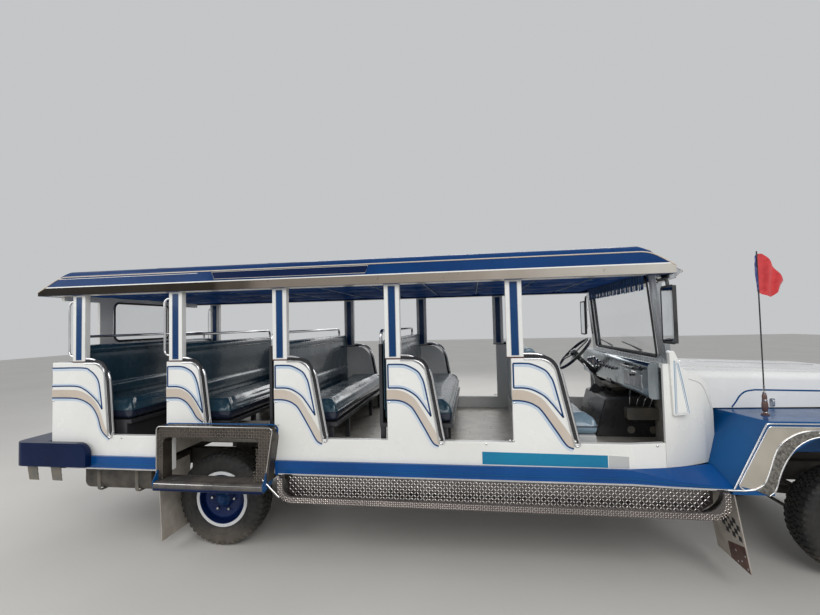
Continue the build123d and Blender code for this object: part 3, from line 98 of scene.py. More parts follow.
class Material:
    """One procedural material. Its textures follow the row frame, because every mesh sits at the origin."""

    def __init__(self, name, colour, rough, metal=0.0, **sockets):
        self.data = bpy.data.materials.new(name)
        self.data.use_nodes = True
        self.tree = self.data.node_tree
        self.shader = self.tree.nodes["Principled BSDF"]
        self.colour = colour
        self.set("Base Color", (*colour, 1))
        self.set("Roughness", rough)
        self.set("Metallic", metal)
        for socket, value in sockets.items():
            self.set(socket.replace("_", " "), value)
        self.place = self.tree.nodes.new("ShaderNodeTexCoord").outputs["Object"]
        self.normal = None

    def set(self, socket, value):
        """Sets one input of the shader."""
        self.shader.inputs[socket].default_value = value

    def add(self, kind, **values):
        """A new node, each value given to its attribute or else to its input of that name."""
        node = self.tree.nodes.new(kind)
        for key, value in values.items():
            if hasattr(node, key):
                setattr(node, key, value)
            else:
                node.inputs[key.replace("_", " ")].default_value = value
        return node

    def join(self, output, socket):
        self.tree.links.new(output, socket)

    def stretched(self, stretch):
        """Object coordinates, scaled along each axis."""
        if stretch == (1, 1, 1):
            return self.place
        mapping = self.add("ShaderNodeMapping")
        mapping.inputs["Scale"].default_value = stretch
        self.join(self.place, mapping.inputs["Vector"])
        return mapping.outputs["Vector"]

    def noise(self, scale, stretch=(1, 1, 1), detail=4.0):
        """Soft noise, its scale in cycles a metre."""
        node = self.add("ShaderNodeTexNoise", Scale=scale, Detail=detail)
        self.join(self.stretched(stretch), node.inputs["Vector"])
        return node.outputs["Fac"]

    def cells(self, scale, feature="F1"):
        """The distance to the nearest of many scattered cells' middles."""
        node = self.add("ShaderNodeTexVoronoi", feature=feature, Scale=scale)
        self.join(self.place, node.inputs["Vector"])
        return node.outputs["Distance"]

    def ramp(self, value, stops):
        """Colours or levels along a value: stops are (position, colour)."""
        node = self.add("ShaderNodeValToRGB")
        points = node.color_ramp.elements
        while len(points) < len(stops):
            points.new(0.5)
        for point, (position, colour) in zip(points, stops):
            point.position = position
            point.color = (*colour, 1) if len(colour) == 3 else (colour[0],) * 3 + (1,)
        self.join(value, node.inputs["Fac"])
        return node.outputs["Color"]

    def mottle(self, scale, shade):
        """Colour that wanders between the base and another shade."""
        self.join(self.ramp(self.noise(scale), [(0.35, self.colour), (0.7, shade)]),
                  self.shader.inputs["Base Color"])
        return self

    def rub(self, scale, low, high, stretch=(1, 1, 1)):
        """Roughness that wanders between two levels."""
        self.join(self.ramp(self.noise(scale, stretch, 6.0), [(0.3, (low,)), (0.7, (high,))]),
                  self.shader.inputs["Roughness"])
        return self

    def bump(self, height, depth, strength=1.0):
        """A relief on top of those already there, depth in metres."""
        node = self.add("ShaderNodeBump", Strength=strength, Distance=depth)
        self.join(height, node.inputs["Height"])
        if self.normal:
            self.join(self.normal, node.inputs["Normal"])
        self.normal = node.outputs["Normal"]
        self.join(self.normal, self.shader.inputs["Normal"])
        return self

    def dust(self, top, depth, amount):
        """Road dust that thickens towards the ground, from a height down over a depth."""
        split = self.add("ShaderNodeSeparateXYZ")
        self.join(self.place, split.inputs[0])
        fall = self.add("ShaderNodeMapRange", From_Min=top, From_Max=top - depth, To_Min=0.0, To_Max=amount)
        self.join(split.outputs["Z"], fall.inputs["Value"])
        speck = self.add("ShaderNodeMath", operation="MULTIPLY")
        self.join(fall.outputs[0], speck.inputs[0])
        self.join(self.noise(9.0, detail=8.0), speck.inputs[1])
        mix = self.add("ShaderNodeMix", data_type="RGBA")
        self.join(speck.outputs[0], mix.inputs["Factor"])
        base = self.shader.inputs["Base Color"]
        if base.links:
            self.join(base.links[0].from_socket, mix.inputs[6])
        else:
            mix.inputs[6].default_value = (*self.colour, 1)
        mix.inputs[7].default_value = (*DUST, 1)
        self.join(mix.outputs[2], base)
        return self


def paint(name, colour, shade, rough=0.22, dusty=None, gloss=0.4):
    """Sprayed enamel: slight orange peel, uneven gloss and a clear coat."""
    made = Material(name, colour, rough, Coat_Weight=gloss, Coat_Roughness=0.08,
                    Specular_IOR_Level=0.75 * gloss)
    made.mottle(1.7, shade).rub(6.0, rough * 0.75, rough * 1.5)
    made.bump(made.noise(260.0, detail=2.0), 0.0002, 0.25).bump(made.noise(3.0), 0.004, 0.12)
    if dusty:
        made.dust(dusty, 0.5, 0.7)
    return made.data


def polished(name, colour, rough, wave=0.12, metal=1.0):
    """Bright metal with hazy patches, fine scratches and a gentle waviness."""
    made = Material(name, colour, rough, metal)
    made.mottle(5.0, tuple(0.82 * c for c in colour)).rub(30.0, rough * 0.6, rough * 1.9, (1, 1, 0.2))
    made.bump(made.noise(7.0, detail=1.0), 0.006, wave).bump(made.noise(400.0, (0.1, 1, 1)), 0.0001, 0.15)
    return made.data


def vinyl(name, colour, shade, rough=0.2, grain=420.0, gloss=0.5):
    """Upholstery vinyl: leather grain, creases and glossy worn places."""
    made = Material(name, colour, rough, Coat_Weight=gloss, Coat_Roughness=0.1,
                    Specular_IOR_Level=0.8 * gloss)
    made.mottle(3.0, shade).rub(5.0, rough * 0.7, rough * 1.9)
    made.bump(made.cells(grain), 0.0003, 0.3).bump(made.noise(9.0, (1, 0.4, 1)), 0.008, 0.35)
    return made.data


def worn_metal(name, colour, shade, rough=0.55, dusty=0.8):
    """Flat black or grey paint on hidden steelwork, with dust."""
    made = Material(name, colour, rough, 0.2)
    made.mottle(9.0, shade).rub(20.0, rough * 0.7, min(1.0, rough * 1.4))
    made.bump(made.noise(90.0), 0.0006, 0.4).dust(dusty, 0.9, 0.8)
    return made.data


def rubber(name, colour, shade, dusty):
    """Dull rubber with fine pores, dusty up to a height."""
    made = Material(name, colour, 0.75)
    made.mottle(12.0, shade).rub(30.0, 0.6, 0.9)
    made.bump(made.noise(160.0), 0.0005, 0.5).dust(dusty, dusty, 0.75)
    return made.data


def clear_glass(name, tint, alpha):
    """Thin glass seen through, with its gloss kept."""
    made = Material(name, tint, 0.03, IOR=1.45, Alpha=alpha, Coat_Weight=1.0, Coat_Roughness=0.02)
    made.rub(3.0, 0.02, 0.07)
    return made.data


def hammered(name, colour, shade):
    """Bright metal beaten all over into small dimples."""
    made = Material(name, colour, 0.22, 0.9)
    made.mottle(60.0, shade).rub(40.0, 0.15, 0.4)
    made.bump(made.cells(75.0, "SMOOTH_F1"), 0.004, 0.8).bump(made.noise(300.0), 0.0004, 0.3)
    return made.data


def cloth(name, colour, shade):
    """Woven cloth: crossed threads and a little sheen."""
    made = Material(name, colour, 0.8, Sheen_Weight=0.3)
    made.mottle(30.0, shade).rub(50.0, 0.7, 0.9)
    for thread in ((1, 1, 0.15), (0.15, 0.15, 1)):
        made.bump(made.noise(900.0, thread), 0.0004, 0.4)
    return made.data


def fluted_glass():
    """Pressed lamp glass with upright flutes."""
    made = Material("lamp_flutes", (0.80, 0.82, 0.80), 0.06, 0.35, Coat_Weight=1.0, Coat_Roughness=0.03)
    made.mottle(20.0, (0.62, 0.64, 0.62)).rub(8.0, 0.04, 0.12)
    made.bump(made.noise(130.0, (0.01, 1, 0.02), 0.0), 0.002, 0.6)
    return made.data


def fascia_with_painted_shade():
    """The roof's lower band: cream metal, with painted shade that turns it brown and then near black towards
    the rear.
    """
    made = Material("fascia_band", (0.05, 0.04, 0.032), 0.3, 0.3, Specular_IOR_Level=0.06)
    split = made.add("ShaderNodeSeparateXYZ")
    made.join(made.place, split.inputs[0])
    run = made.add("ShaderNodeMapRange", From_Min=-3.3, From_Max=1.5)
    made.join(split.outputs["X"], run.inputs["Value"])
    stir = made.add("ShaderNodeMath", operation="ADD")
    made.join(run.outputs[0], stir.inputs[0])
    wander = made.add("ShaderNodeMapRange", To_Min=-0.12, To_Max=0.12)
    made.join(made.noise(2.2, (1, 0.2, 0.2)), wander.inputs["Value"])
    made.join(wander.outputs[0], stir.inputs[1])
    # Painted shade along the band: near black at the rear, brown in the middle, cream at the front
    colour = made.ramp(stir.outputs[0], [(0.0, (0.010, 0.008, 0.006)), (0.30, (0.022, 0.017, 0.012)),
                                         (0.42, (0.20, 0.17, 0.14)), (0.75, (0.28, 0.24, 0.20)),
                                         (1.0, (0.46, 0.44, 0.40))])
    made.join(colour, made.shader.inputs["Base Color"])
    made.rub(12.0, 0.25, 0.45).bump(made.noise(5.0, detail=1.0), 0.004, 0.2)
    return made.data


# Every look, with the record's slot named beside it
LOOKS = {
    "white": (paint("white_paint", (0.80, 0.80, 0.775), (0.74, 0.735, 0.70)), "body_white"),
    "hood_white": (paint("hood_paint", (0.83, 0.83, 0.82), (0.78, 0.78, 0.77)), "hood_white"),
    "pillar_white": (paint("pillar_paint", (0.76, 0.76, 0.74), (0.66, 0.66, 0.64), 0.3), "pillar_white"),
    "band_blue": (paint("band_paint", (0.003, 0.075, 0.27), (0.003, 0.05, 0.20),
                        0.18, gloss=0.2), "band_blue"),
    "fender_blue": (paint("fender_paint", (0.003, 0.085, 0.26), (0.003, 0.055, 0.18),
                          0.18, gloss=0.2), "fender_blue"),
    "navy": (paint("navy_paint", (0.002, 0.009, 0.042), (0.003, 0.013, 0.06),
                   0.2, gloss=0.12), "bumper_blue"),
    "roof_blue": (paint("roof_paint", (0.002, 0.040, 0.155), (0.002, 0.024, 0.10),
                        0.28, gloss=0.12), "roof_blue"),
    # The fascia band's brown and near-black rear is painted shade
    "fascia": (fascia_with_painted_shade(), "roof_blue"),
    "line_blue": (paint("line_paint", (0.004, 0.035, 0.12), (0.006, 0.05, 0.16),
                        0.25, gloss=0.2), "band_blue"),
    "haze_blue": (paint("haze_paint", (0.42, 0.53, 0.66), (0.66, 0.70, 0.74), 0.3), "body_white"),
    "plate_blue": (paint("plate_line_paint", (0.20, 0.34, 0.50), (0.30, 0.42, 0.55), 0.3), "body_white"),
    "tan": (paint("tan_paint", (0.52, 0.44, 0.36), (0.60, 0.54, 0.47), 0.22), "body_white"),
    "teal_paint": (paint("teal_paint", (0.01, 0.21, 0.36), (0.01, 0.17, 0.32), 0.25, gloss=0.2), "band_blue"),
    "cream": (paint("cream_paint", (0.66, 0.64, 0.58), (0.5, 0.48, 0.43), 0.25), "roof_blue"),
    "floor": (worn_metal("floor_paint", (0.50, 0.47, 0.42), (0.38, 0.35, 0.31), 0.35, 0.2), "floor_pale"),
    "box_grey": (paint("seat_box_paint", (0.42, 0.43, 0.43), (0.5, 0.5, 0.5), 0.4), "box_grey"),
    "black_paint": (paint("black_paint", (0.014, 0.014, 0.016), (0.03, 0.03, 0.034), 0.25), "cover_black"),
    "seat_black": (paint("seat_frame_paint", (0.02, 0.02, 0.024), (0.035, 0.035, 0.04), 0.4), "seat_black"),
    "step_black": (worn_metal("step_paint", (0.045, 0.042, 0.045), (0.12, 0.11, 0.10),
                              0.4, 0.7), "step_black"),
    "frame_black": (worn_metal("chassis_paint", (0.03, 0.029, 0.028), (0.07, 0.06, 0.05)), "frame_black"),
    "engine": (worn_metal("engine_iron", (0.13, 0.13, 0.12), (0.2, 0.17, 0.13)), "engine_grey"),
    "rusty": (worn_metal("manifold_iron", (0.10, 0.055, 0.035), (0.17, 0.10, 0.06), 0.7), "engine_grey"),
    "radiator": (worn_metal("radiator_paint", (0.02, 0.02, 0.02), (0.05, 0.05, 0.05)), "radiator_black"),
    "mirror_black": (worn_metal("mirror_paint", (0.02, 0.02, 0.02), (0.05, 0.05, 0.05), 0.4), "mirror_black"),
    "steel": (polished("polished_steel", (0.66, 0.65, 0.63), 0.09), "polished_steel"),
    "screen_steel": (polished("screen_steel", (0.50, 0.52, 0.54), 0.2), "windshield_steel"),
    "dash_steel": (polished("dash_steel", (0.40, 0.45, 0.48), 0.14, 0.3), "polished_steel"),
    # Polished steel on the fender's side; its warm brown tint is a painted reflection of a tan floor
    "fender_steel_painted_reflection": (polished("fender_steel_painted_reflection", (0.62, 0.58, 0.51), 0.05, 0.9), "polished_steel"),
    "hammered": (hammered("arch_lip_metal", (0.13, 0.125, 0.115), (0.36, 0.34, 0.31)), "polished_steel"),
    "chrome": (polished("chrome_tube", (0.78, 0.78, 0.79), 0.06, 0.04), "chrome_tube"),
    "bar_chrome": (polished("chrome_bar", (0.74, 0.74, 0.75), 0.15, 0.05), "chrome_bar"),
    # Tread plate is one metal: the plate is darkened as painted shade and its lugs are paled as painted
    # highlight
    "tread": (polished("tread_metal_painted_shade", (0.17, 0.155, 0.15), 0.34, 0.08), "tread_plate"),
    "tread_lug_painted_highlight": (polished("tread_lug_painted_highlight", (0.86, 0.82, 0.78), 0.34, 0.05), "tread_plate"),
    # Dark tread plate on the rear arches; part of its darkness is painted shade
    "dark_tread_painted_shade": (worn_metal("dark_tread_painted_shade", (0.032, 0.026, 0.021), (0.07, 0.058, 0.047),
                              0.35, 0.5), "tread_plate"),
    # Lugs on the dark plate and on the steps, lighter as painted highlight
    "dark_lug_painted_highlight": (polished("dark_lug_painted_highlight", (0.17, 0.145, 0.12), 0.3, 0.05), "tread_plate"),
    # On the running boards' lip lugs this pale colour is painted highlight; the visor's rolled edge takes it
    # too
    "lip": (polished("tread_lip", (0.68, 0.60, 0.55), 0.3, 0.1), "tread_plate"),
    "vinyl": (vinyl("teal_vinyl", (0.014, 0.040, 0.062), (0.020, 0.056, 0.082)), "teal_vinyl"),
    "seat_vinyl": (vinyl("seat_vinyl", (0.13, 0.20, 0.26), (0.17, 0.25, 0.31)), "teal_vinyl"),
    "seat_navy": (vinyl("navy_vinyl", (0.010, 0.014, 0.030), (0.016, 0.022, 0.044)), "teal_vinyl"),
    "ceiling": (vinyl("ceiling_vinyl", (0.006, 0.055, 0.23), (0.008, 0.075, 0.30),
                      0.6, gloss=0.03), "ceiling_vinyl"),
    "piping": (vinyl("piping_vinyl", (0.16, 0.26, 0.40), (0.12, 0.2, 0.34), 0.4, gloss=0.1), "ceiling_vinyl"),
    "tyre": (rubber("tyre_rubber", (0.014, 0.014, 0.014), (0.028, 0.026, 0.024), 0.20), "tyre_black"),
    "flap": (rubber("flap_rubber", (0.46, 0.42, 0.37), (0.34, 0.30, 0.26), 0.3), "flap_rubber"),
    "flap_dark": (rubber("flap_dark", (0.02, 0.022, 0.024), (0.05, 0.05, 0.05), 0.2), "flap_rubber"),
    "flap_maroon": (rubber("flap_maroon", (0.10, 0.035, 0.03), (0.05, 0.02, 0.02), 0.3), "flap_rubber"),
    "rim": (paint("rim_paint", (0.72, 0.72, 0.70), (0.6, 0.6, 0.58), 0.3, 0.5), "rim_white"),
    "glass": (clear_glass("window_glass", (0.75, 0.82, 0.80), 0.12), "clear_glass"),
    "lens": (clear_glass("lamp_lens", (0.85, 0.86, 0.84), 0.45), "lamp_glass"),
    "lens_flutes": (fluted_glass(), "lamp_glass"),
    "fringe": (cloth("fringe_cloth", (0.015, 0.06, 0.17), (0.02, 0.10, 0.26)), "ceiling_vinyl"),
    "pennant_red": (cloth("pennant_red_cloth", (0.62, 0.045, 0.05), (0.5, 0.03, 0.035)), "tail_glass"),
    "pennant_blue": (cloth("pennant_blue_cloth", (0.04, 0.07, 0.30), (0.03, 0.05, 0.22)), "band_blue"),
    "amber": (clear_glass("amber_lens", (0.75, 0.26, 0.02), 0.85), "lamp_glass"),
    "red": (clear_glass("red_lens", (0.45, 0.01, 0.01), 0.9), "tail_glass"),
    "mirror_glass": (polished("mirror_glass", (0.80, 0.82, 0.84), 0.02, 0.0), "polished_steel"),
    "plastic": (paint("black_plastic", (0.02, 0.02, 0.02), (0.03, 0.03, 0.03), 0.35), "wheel_plastic"),
    "wood": (vinyl("mast_grip", (0.07, 0.03, 0.03), (0.14, 0.07, 0.05), 0.3, 60.0), "mast_wood"),
}


# Shapes

def smooth(points, steps=6):
    """A curve through a few points, as more points."""
    pts = [Vector(p) for p in points]
    pts = [2 * pts[0] - pts[1]] + pts + [2 * pts[-1] - pts[-2]]
    out = []
    for a, b, c, d in zip(pts, pts[1:], pts[2:], pts[3:]):
        for k in range(steps):
            t = k / steps
            out.append(0.5 * (2 * b + (c - a) * t + (2 * a - 5 * b + 4 * c - d) * t * t
                              + (3 * b - a - 3 * c + d) * t ** 3))
    return out + [pts[-2]]


def resample(points, count):
    """The same line as a number of evenly spaced points."""
    pts = [Vector(p) for p in points]
    reach = [0.0]
    for a, b in zip(pts, pts[1:]):
        reach.append(reach[-1] + (b - a).length)
    out, n = [], 0
    for k in range(count):
        along = reach[-1] * k / (count - 1)
        while n < len(pts) - 2 and reach[n + 1] < along:
            n += 1
        out.append(pts[n].lerp(pts[n + 1], min(1.0, (along - reach[n]) / (reach[n + 1] - reach[n]))))
    return out


def rounded(points, radius, steps=6, closed=False):
    """A run of straight lines with arcs at its corners."""
    pts = [Vector(p) for p in points]
    out = [] if closed else [pts[0]]
    for n in range(0 if closed else 1, len(pts) if closed else len(pts) - 1):
        corner = pts[n]
        back, ahead = pts[n - 1] - corner, pts[(n + 1) % len(pts)] - corner
        half = back.angle(ahead) / 2
        reach = min(radius / tan(half), 0.48 * back.length, 0.48 * ahead.length)
        back.normalize()
        ahead.normalize()
        centre = corner + (back + ahead).normalized() * reach / cos(half)
        start, end, turn = corner + back * reach - centre, corner + ahead * reach - centre, pi - 2 * half
        for k in range(steps + 1):
            t = k / steps
            out.append(centre + (sin((1 - t) * turn) * start + sin(t * turn) * end) / sin(turn))
    return out if closed else out + [pts[-1]]


def lay(axis, point, level):
    """A flat point put into space across an axis."""
    a, b = point[0], point[1]
    return {"x": (level, a, b), "y": (a, level, b), "z": (a, b, level)}[axis]


def laid(axis, outline, level):
    """A flat outline put into space across an axis."""
    return [lay(axis, point, level) for point in outline]


def corners(low, high):
    """A flat rectangle's corners, anticlockwise."""
    return [(low[0], low[1]), (high[0], low[1]), (high[0], high[1]), (low[0], high[1])]


def soft_corners(low, high, radius, steps=4):
    """A flat rectangle with round corners."""
    return rounded(corners(low, high), radius, steps, True)


def frame_of(wide, high, corner, level=0.0):
    """A rectangle with round corners about the z axis, at a level."""
    return rounded(laid("z", corners((-wide / 2, -high / 2), (wide / 2, high / 2)), level), corner, 4, True)


class Shape:
    """Vertices and faces gathered into one mesh."""

    def __init__(self):
        self.verts = []
        self.faces = []

    def add(self, verts, faces):
        base = len(self.verts)
        self.verts += [tuple(v) for v in verts]
        self.faces += [tuple(base + i for i in face) for face in faces]
        return self

    def loft(self, rings, closed=True, caps=True):
        """A skin over rings that have equal numbers of points."""
        count = len(rings[0])
        faces = []
        for r in range(len(rings) - 1):
            for i in range(count if closed else count - 1):
                j = (i + 1) % count
                faces.append((r * count + i, r * count + j, (r + 1) * count + j, (r + 1) * count + i))
        if caps and closed:
            faces.append(tuple(reversed(range(count))))
            faces.append(tuple((len(rings) - 1) * count + i for i in range(count)))
        return self.add([p for ring in rings for p in ring], faces)

    def prism(self, outline, axis, low, high):
        """An outline across an axis, drawn out along it."""
        return self.loft([laid(axis, outline, level) for level in (low, high)])

    def box(self, low, high, chamfer):
        """A box whose edges along Y are rounded."""
        radius = min(chamfer, 0.45 * min(high[0] - low[0], high[2] - low[2]))
        outline = soft_corners((low[0], low[2]), (high[0], high[2]), radius, 3)
        return self.prism(outline, "y", low[1], high[1])

    def tube(self, path, radius, sides=12, closed=False):
        """A round tube along a path, of one radius or one for each point."""
        pts = [Vector(p) for p in path]
        radii = radius if hasattr(radius, "__len__") else [radius] * len(pts)
        ahead = []
        for n, p in enumerate(pts):
            before = pts[n - 1] if n or closed else p
            after = pts[(n + 1) % len(pts)] if n < len(pts) - 1 or closed else p
            ahead.append((after - before).normalized())
        across = ahead[0].orthogonal().normalized()
        rings = []
        for p, direction, r in zip(pts, ahead, radii):
            across = (across - direction * across.dot(direction)).normalized()
            up = direction.cross(across)
            rings.append([p + r * (cos(2 * pi * k / sides) * across + sin(2 * pi * k / sides) * up)
                          for k in range(sides)])
        if closed:
            rings.append(rings[0])
        return self.loft(rings, caps=not closed)

    def lathe(self, profile, centre, axis, steps, closed=True):
        """A profile of (along, radius) points turned about an axis through a centre."""
        rings = []
        for along, radius in profile:
            ring = []
            for k in range(steps):
                a, b = radius * cos(2 * pi * k / steps), radius * sin(2 * pi * k / steps)
                ring.append(Vector(centre) + Vector(lay(axis, (a, b), along)))
            rings.append(ring)
        if closed:
            rings.append(rings[0])
        return self.loft(rings, caps=not closed)

    def ribbon(self, path, width, axis, low, high):
        """A flat stripe of even width along a path drawn across an axis."""
        pts = [Vector((p[0], p[1])) for p in path]
        sides = ([], [])
        for n, p in enumerate(pts):
            run = (pts[min(n + 1, len(pts) - 1)] - pts[max(n - 1, 0)]).normalized()
            out = Vector((-run.y, run.x)) * width / 2
            sides[0].append(p + out)
            sides[1].append(p - out)
        return self.between(sides[0], sides[1], axis, low, high)

    def between(self, upper, lower, axis, low, high):
        """A flat band between two lines of equal numbers of points."""
        rings = [[lay(axis, a, low), lay(axis, b, low), lay(axis, b, high), lay(axis, a, high)]
                 for a, b in zip(upper, lower)]
        return self.loft(rings)

    def mirrored(self):
        """Adds the same shape on the vehicle's other side."""
        return self.add([(x, -y, z) for x, y, z in self.verts], [face[::-1] for face in self.faces])

    def put(self, part, matrix):
        """Adds a part made about the origin."""
        return self.add([matrix @ Vector(v) for v in part.verts], part.faces)

    def turned(self, profile, steps, matrix, closed=False):
        """Adds a profile turned about a matrix's z axis."""
        return self.put(Shape().lathe(profile, (0, 0, 0), "z", steps, closed), matrix)

    def slab(self, outline, low, high, matrix):
        """Adds an outline drawn out along a matrix's z axis."""
        return self.put(Shape().prism(outline, "z", low, high), matrix)

    def build(self, name, look, body="body", angle=35, bevel=0.0, replaces=()):
        """The shape as a piece, with its look and body, its sharp edges' angle and its bevel's width."""
        mesh = bpy.data.meshes.new(name)
        mesh.from_pydata(self.verts, [], self.faces)
        work = bmesh.new()
        work.from_mesh(mesh)
        bmesh.ops.remove_doubles(work, verts=work.verts, dist=1e-6)
        bmesh.ops.recalc_face_normals(work, faces=work.faces)
        work.to_mesh(mesh)
        work.free()
        mesh.shade_smooth()
        mesh.set_sharp_from_angle(angle=radians(angle))
        piece = bpy.data.objects.new(name, mesh)
        scene.collection.objects.link(piece)
        material, slot = LOOKS[look]
        mesh.materials.append(material)
        if bevel:
            soften(piece, bevel)
        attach(piece, body)
        if replaces:
            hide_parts(*replaces)
        return piece

    def build_both(self, name, look, *args, **options):
        """A piece made of the shape and its mirror image."""
        return self.mirrored().build(name, look, *args, **options)


def shapes(count):
    """Empty shapes, to be filled side by side."""
    return [Shape() for _ in range(count)]


def soften(piece, width):
    """Rounded edges on a hard piece."""
    weld = piece.modifiers.new("weld", "WELD")
    weld.merge_threshold = 2e-5
    flat = piece.modifiers.new("flat", "DECIMATE")
    flat.decimate_type = "DISSOLVE"
    flat.angle_limit = radians(0.5)
    bevel = piece.modifiers.new("bevel", "BEVEL")
    bevel.width = width
    bevel.segments = 2
    bevel.angle_limit = radians(40)
    bevel.harden_normals = True


# Finish of the CAD nodes: look, edge rounding in millimetres

NODE_LOOKS = {
    "chassis_frame": ("frame_black", 3), "leaf_springs": ("frame_black", 0), "rear_axle": ("frame_black", 0),
    "front_axle": ("frame_black", 3), "knuckle_right": ("frame_black", 0), "knuckle_left": ("frame_black", 0),
    "tie_rod": ("frame_black", 0), "drive_shaft": ("frame_black", 0), "engine_block": ("engine", 8),
    "fuel_tank": ("frame_black", 4), "radiator": ("radiator", 2), "floor_pan": ("floor", 0),
    "body_side_right": ("white", 6), "body_side_left": ("white", 6), "side_skirts": ("band_blue", 4),
    "pillars": ("pillar_white", 5), "side_rails": ("chrome", 0), "rear_wall": ("white", 4),
    "rear_window": ("glass", 0), "roof_shell": ("roof_blue", 6), "ceiling_panel": ("ceiling", 0),
    "sun_visor": ("screen_steel", 3), "windshield_frame": ("screen_steel", 4),
    "windshield_glass": ("glass", 0),
    "cowl": ("white", 8), "dashboard": ("dash_steel", 4), "steering_column": ("black_paint", 0),
    "steering_wheel": ("plastic", 0), "front_fender_right": ("fender_blue", 4),
    "front_fender_left": ("fender_blue", 4), "hood": ("hood_white", 3), "grille": ("steel", 3),
    "front_lamps": ("lens", 0), "front_bumper": ("bar_chrome", 5), "rear_bumper": ("navy", 5),
    "running_boards": ("tread", 1), "wheel_arches": ("dark_tread_painted_shade", 12), "arch_steps": ("step_black", 0),
    "mud_flaps": ("flap", 0), "bench_frames": ("seat_black", 3), "bench_rails": ("chrome", 0),
    "bench_cushions": ("vinyl", 30), "bench_backs": ("vinyl", 30), "front_seats": ("seat_vinyl", 30),
    "front_seat_boxes": ("box_grey", 5), "engine_cover": ("black_paint", 12), "mirrors": ("mirror_black", 2),
    "fender_mast": ("wood", 0), "floor_bearers": ("frame_black", 2), "grab_handles": ("chrome", 0),
    "rear_lamps": ("red", 3),
}
for axle in ("rear", "front"):
    for hand in ("right", "left"):
        NODE_LOOKS[f"rim_{axle}_{hand}"] = ("rim", 0)
        NODE_LOOKS[f"tyre_{axle}_{hand}"] = ("tyre", 0)

for node, (look, edge) in NODE_LOOKS.items():
    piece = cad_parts[node]
    piece.data.materials.clear()
    piece.data.materials.append(LOOKS[look][0])
    if edge:
        soften(piece, edge / 1000)


# Body sides: painted lines, beads, pillar strips and screws

SIDE = HALF + 0.0002  # the face that paint is laid on
# Each pillar's panel, forward of the pillar: its rear edge, its corner under the belt, its corner at the
# sill, the upper corner's radius and the painted lines it carries
Swoop = namedtuple("Swoop", "rear corner foot radius lines")
SWOOPS = [Swoop(-0.250, 0.242, 0.286, 0.185, "upright"), Swoop(-0.080, 0.205, 0.280, 0.160, "short"),
          Swoop(-0.050, 0.235, 0.340, 0.185, "swept"), Swoop(-0.050, 0.235, 0.334, 0.185, "swept"),
          Swoop(-0.030, 0.259, 0.384, 0.185, "swept")]
# The painted loop's upper and lower line and the sash's upper and lower line: forward of the pillar, up
LINES = {
    "upright": (
        ((0.04, 1.465), (0.111, 1.440), (0.158, 1.400), (0.187, 1.351), (0.204, 1.262), (0.221, 1.129)),
        ((-0.031, 1.315), (0.052, 1.291), (0.123, 1.242), (0.181, 1.188), (0.221, 1.129)),
        ((-0.09, 1.286), (0.0, 1.280), (0.083, 1.248), (0.155, 1.192), (0.205, 1.110), (0.250, 0.985),
         (0.300, 0.905)),
        ((-0.09, 1.219), (-0.007, 1.213), (0.064, 1.191), (0.129, 1.148), (0.181, 1.069), (0.220, 0.955),
         (0.290, 0.889))),
    "short": (
        ((0.045, 1.470), (0.105, 1.452), (0.155, 1.415), (0.187, 1.350), (0.207, 1.270), (0.237, 1.107)),
        ((0.015, 1.311), (0.070, 1.297), (0.120, 1.265), (0.165, 1.215), (0.205, 1.155), (0.237, 1.107)),
        ((0.020, 1.296), (0.075, 1.280), (0.125, 1.245), (0.170, 1.190), (0.215, 1.110), (0.250, 1.040)),
        ((0.020, 1.222), (0.065, 1.208), (0.105, 1.180), (0.145, 1.130), (0.185, 1.070), (0.236, 1.034))),
    "swept": (
        ((0.051, 1.472), (0.113, 1.464), (0.196, 1.425), (0.232, 1.381), (0.258, 1.319), (0.311, 1.096)),
        ((0.046, 1.300), (0.098, 1.291), (0.144, 1.271), (0.190, 1.242), (0.235, 1.194), (0.311, 1.096)),
        ((0.022, 1.286), (0.078, 1.276), (0.134, 1.252), (0.180, 1.218), (0.225, 1.161), (0.323, 1.023),
         (0.380, 0.929)),
        ((0.020, 1.211), (0.076, 1.201), (0.123, 1.180), (0.168, 1.141), (0.258, 1.008), (0.324, 0.909),
         (0.372, 0.883))),
}


def edge_x(swoop, z):
    """A panel's front edge at a height, forward of its pillar."""
    return swoop.corner + (swoop.foot - swoop.corner) * (BELT_Z - z) / (BELT_Z - SILL_Z)


def panel_line(swoop, line, start):
    """One painted line, fitted to a panel's width, from the panel's rear."""
    def fitted(x, z):
        return x * edge_x(swoop, z) / edge_x(SWOOPS[-1], z) if swoop.lines == "swept" else x

    fit = [Vector((fitted(x, z), z)) for x, z in line]
    return smooth([(start, fit[0].y)] + [tuple(p) for p in fit])


def moved_along(points, pillar):
    """A panel's flat line, moved to its pillar."""
    return [(p[0] + pillar, p[1]) for p in points]


def inner_line(points, gap):
    """A line that keeps a distance below another one."""
    pts = [Vector(p) for p in points]
    out = []
    for n, p in enumerate(pts):
        run = (pts[min(n + 1, len(pts) - 1)] - pts[max(n - 1, 0)]).normalized()
        out.append(p + gap * Vector((run.y, -run.x)))
    return out


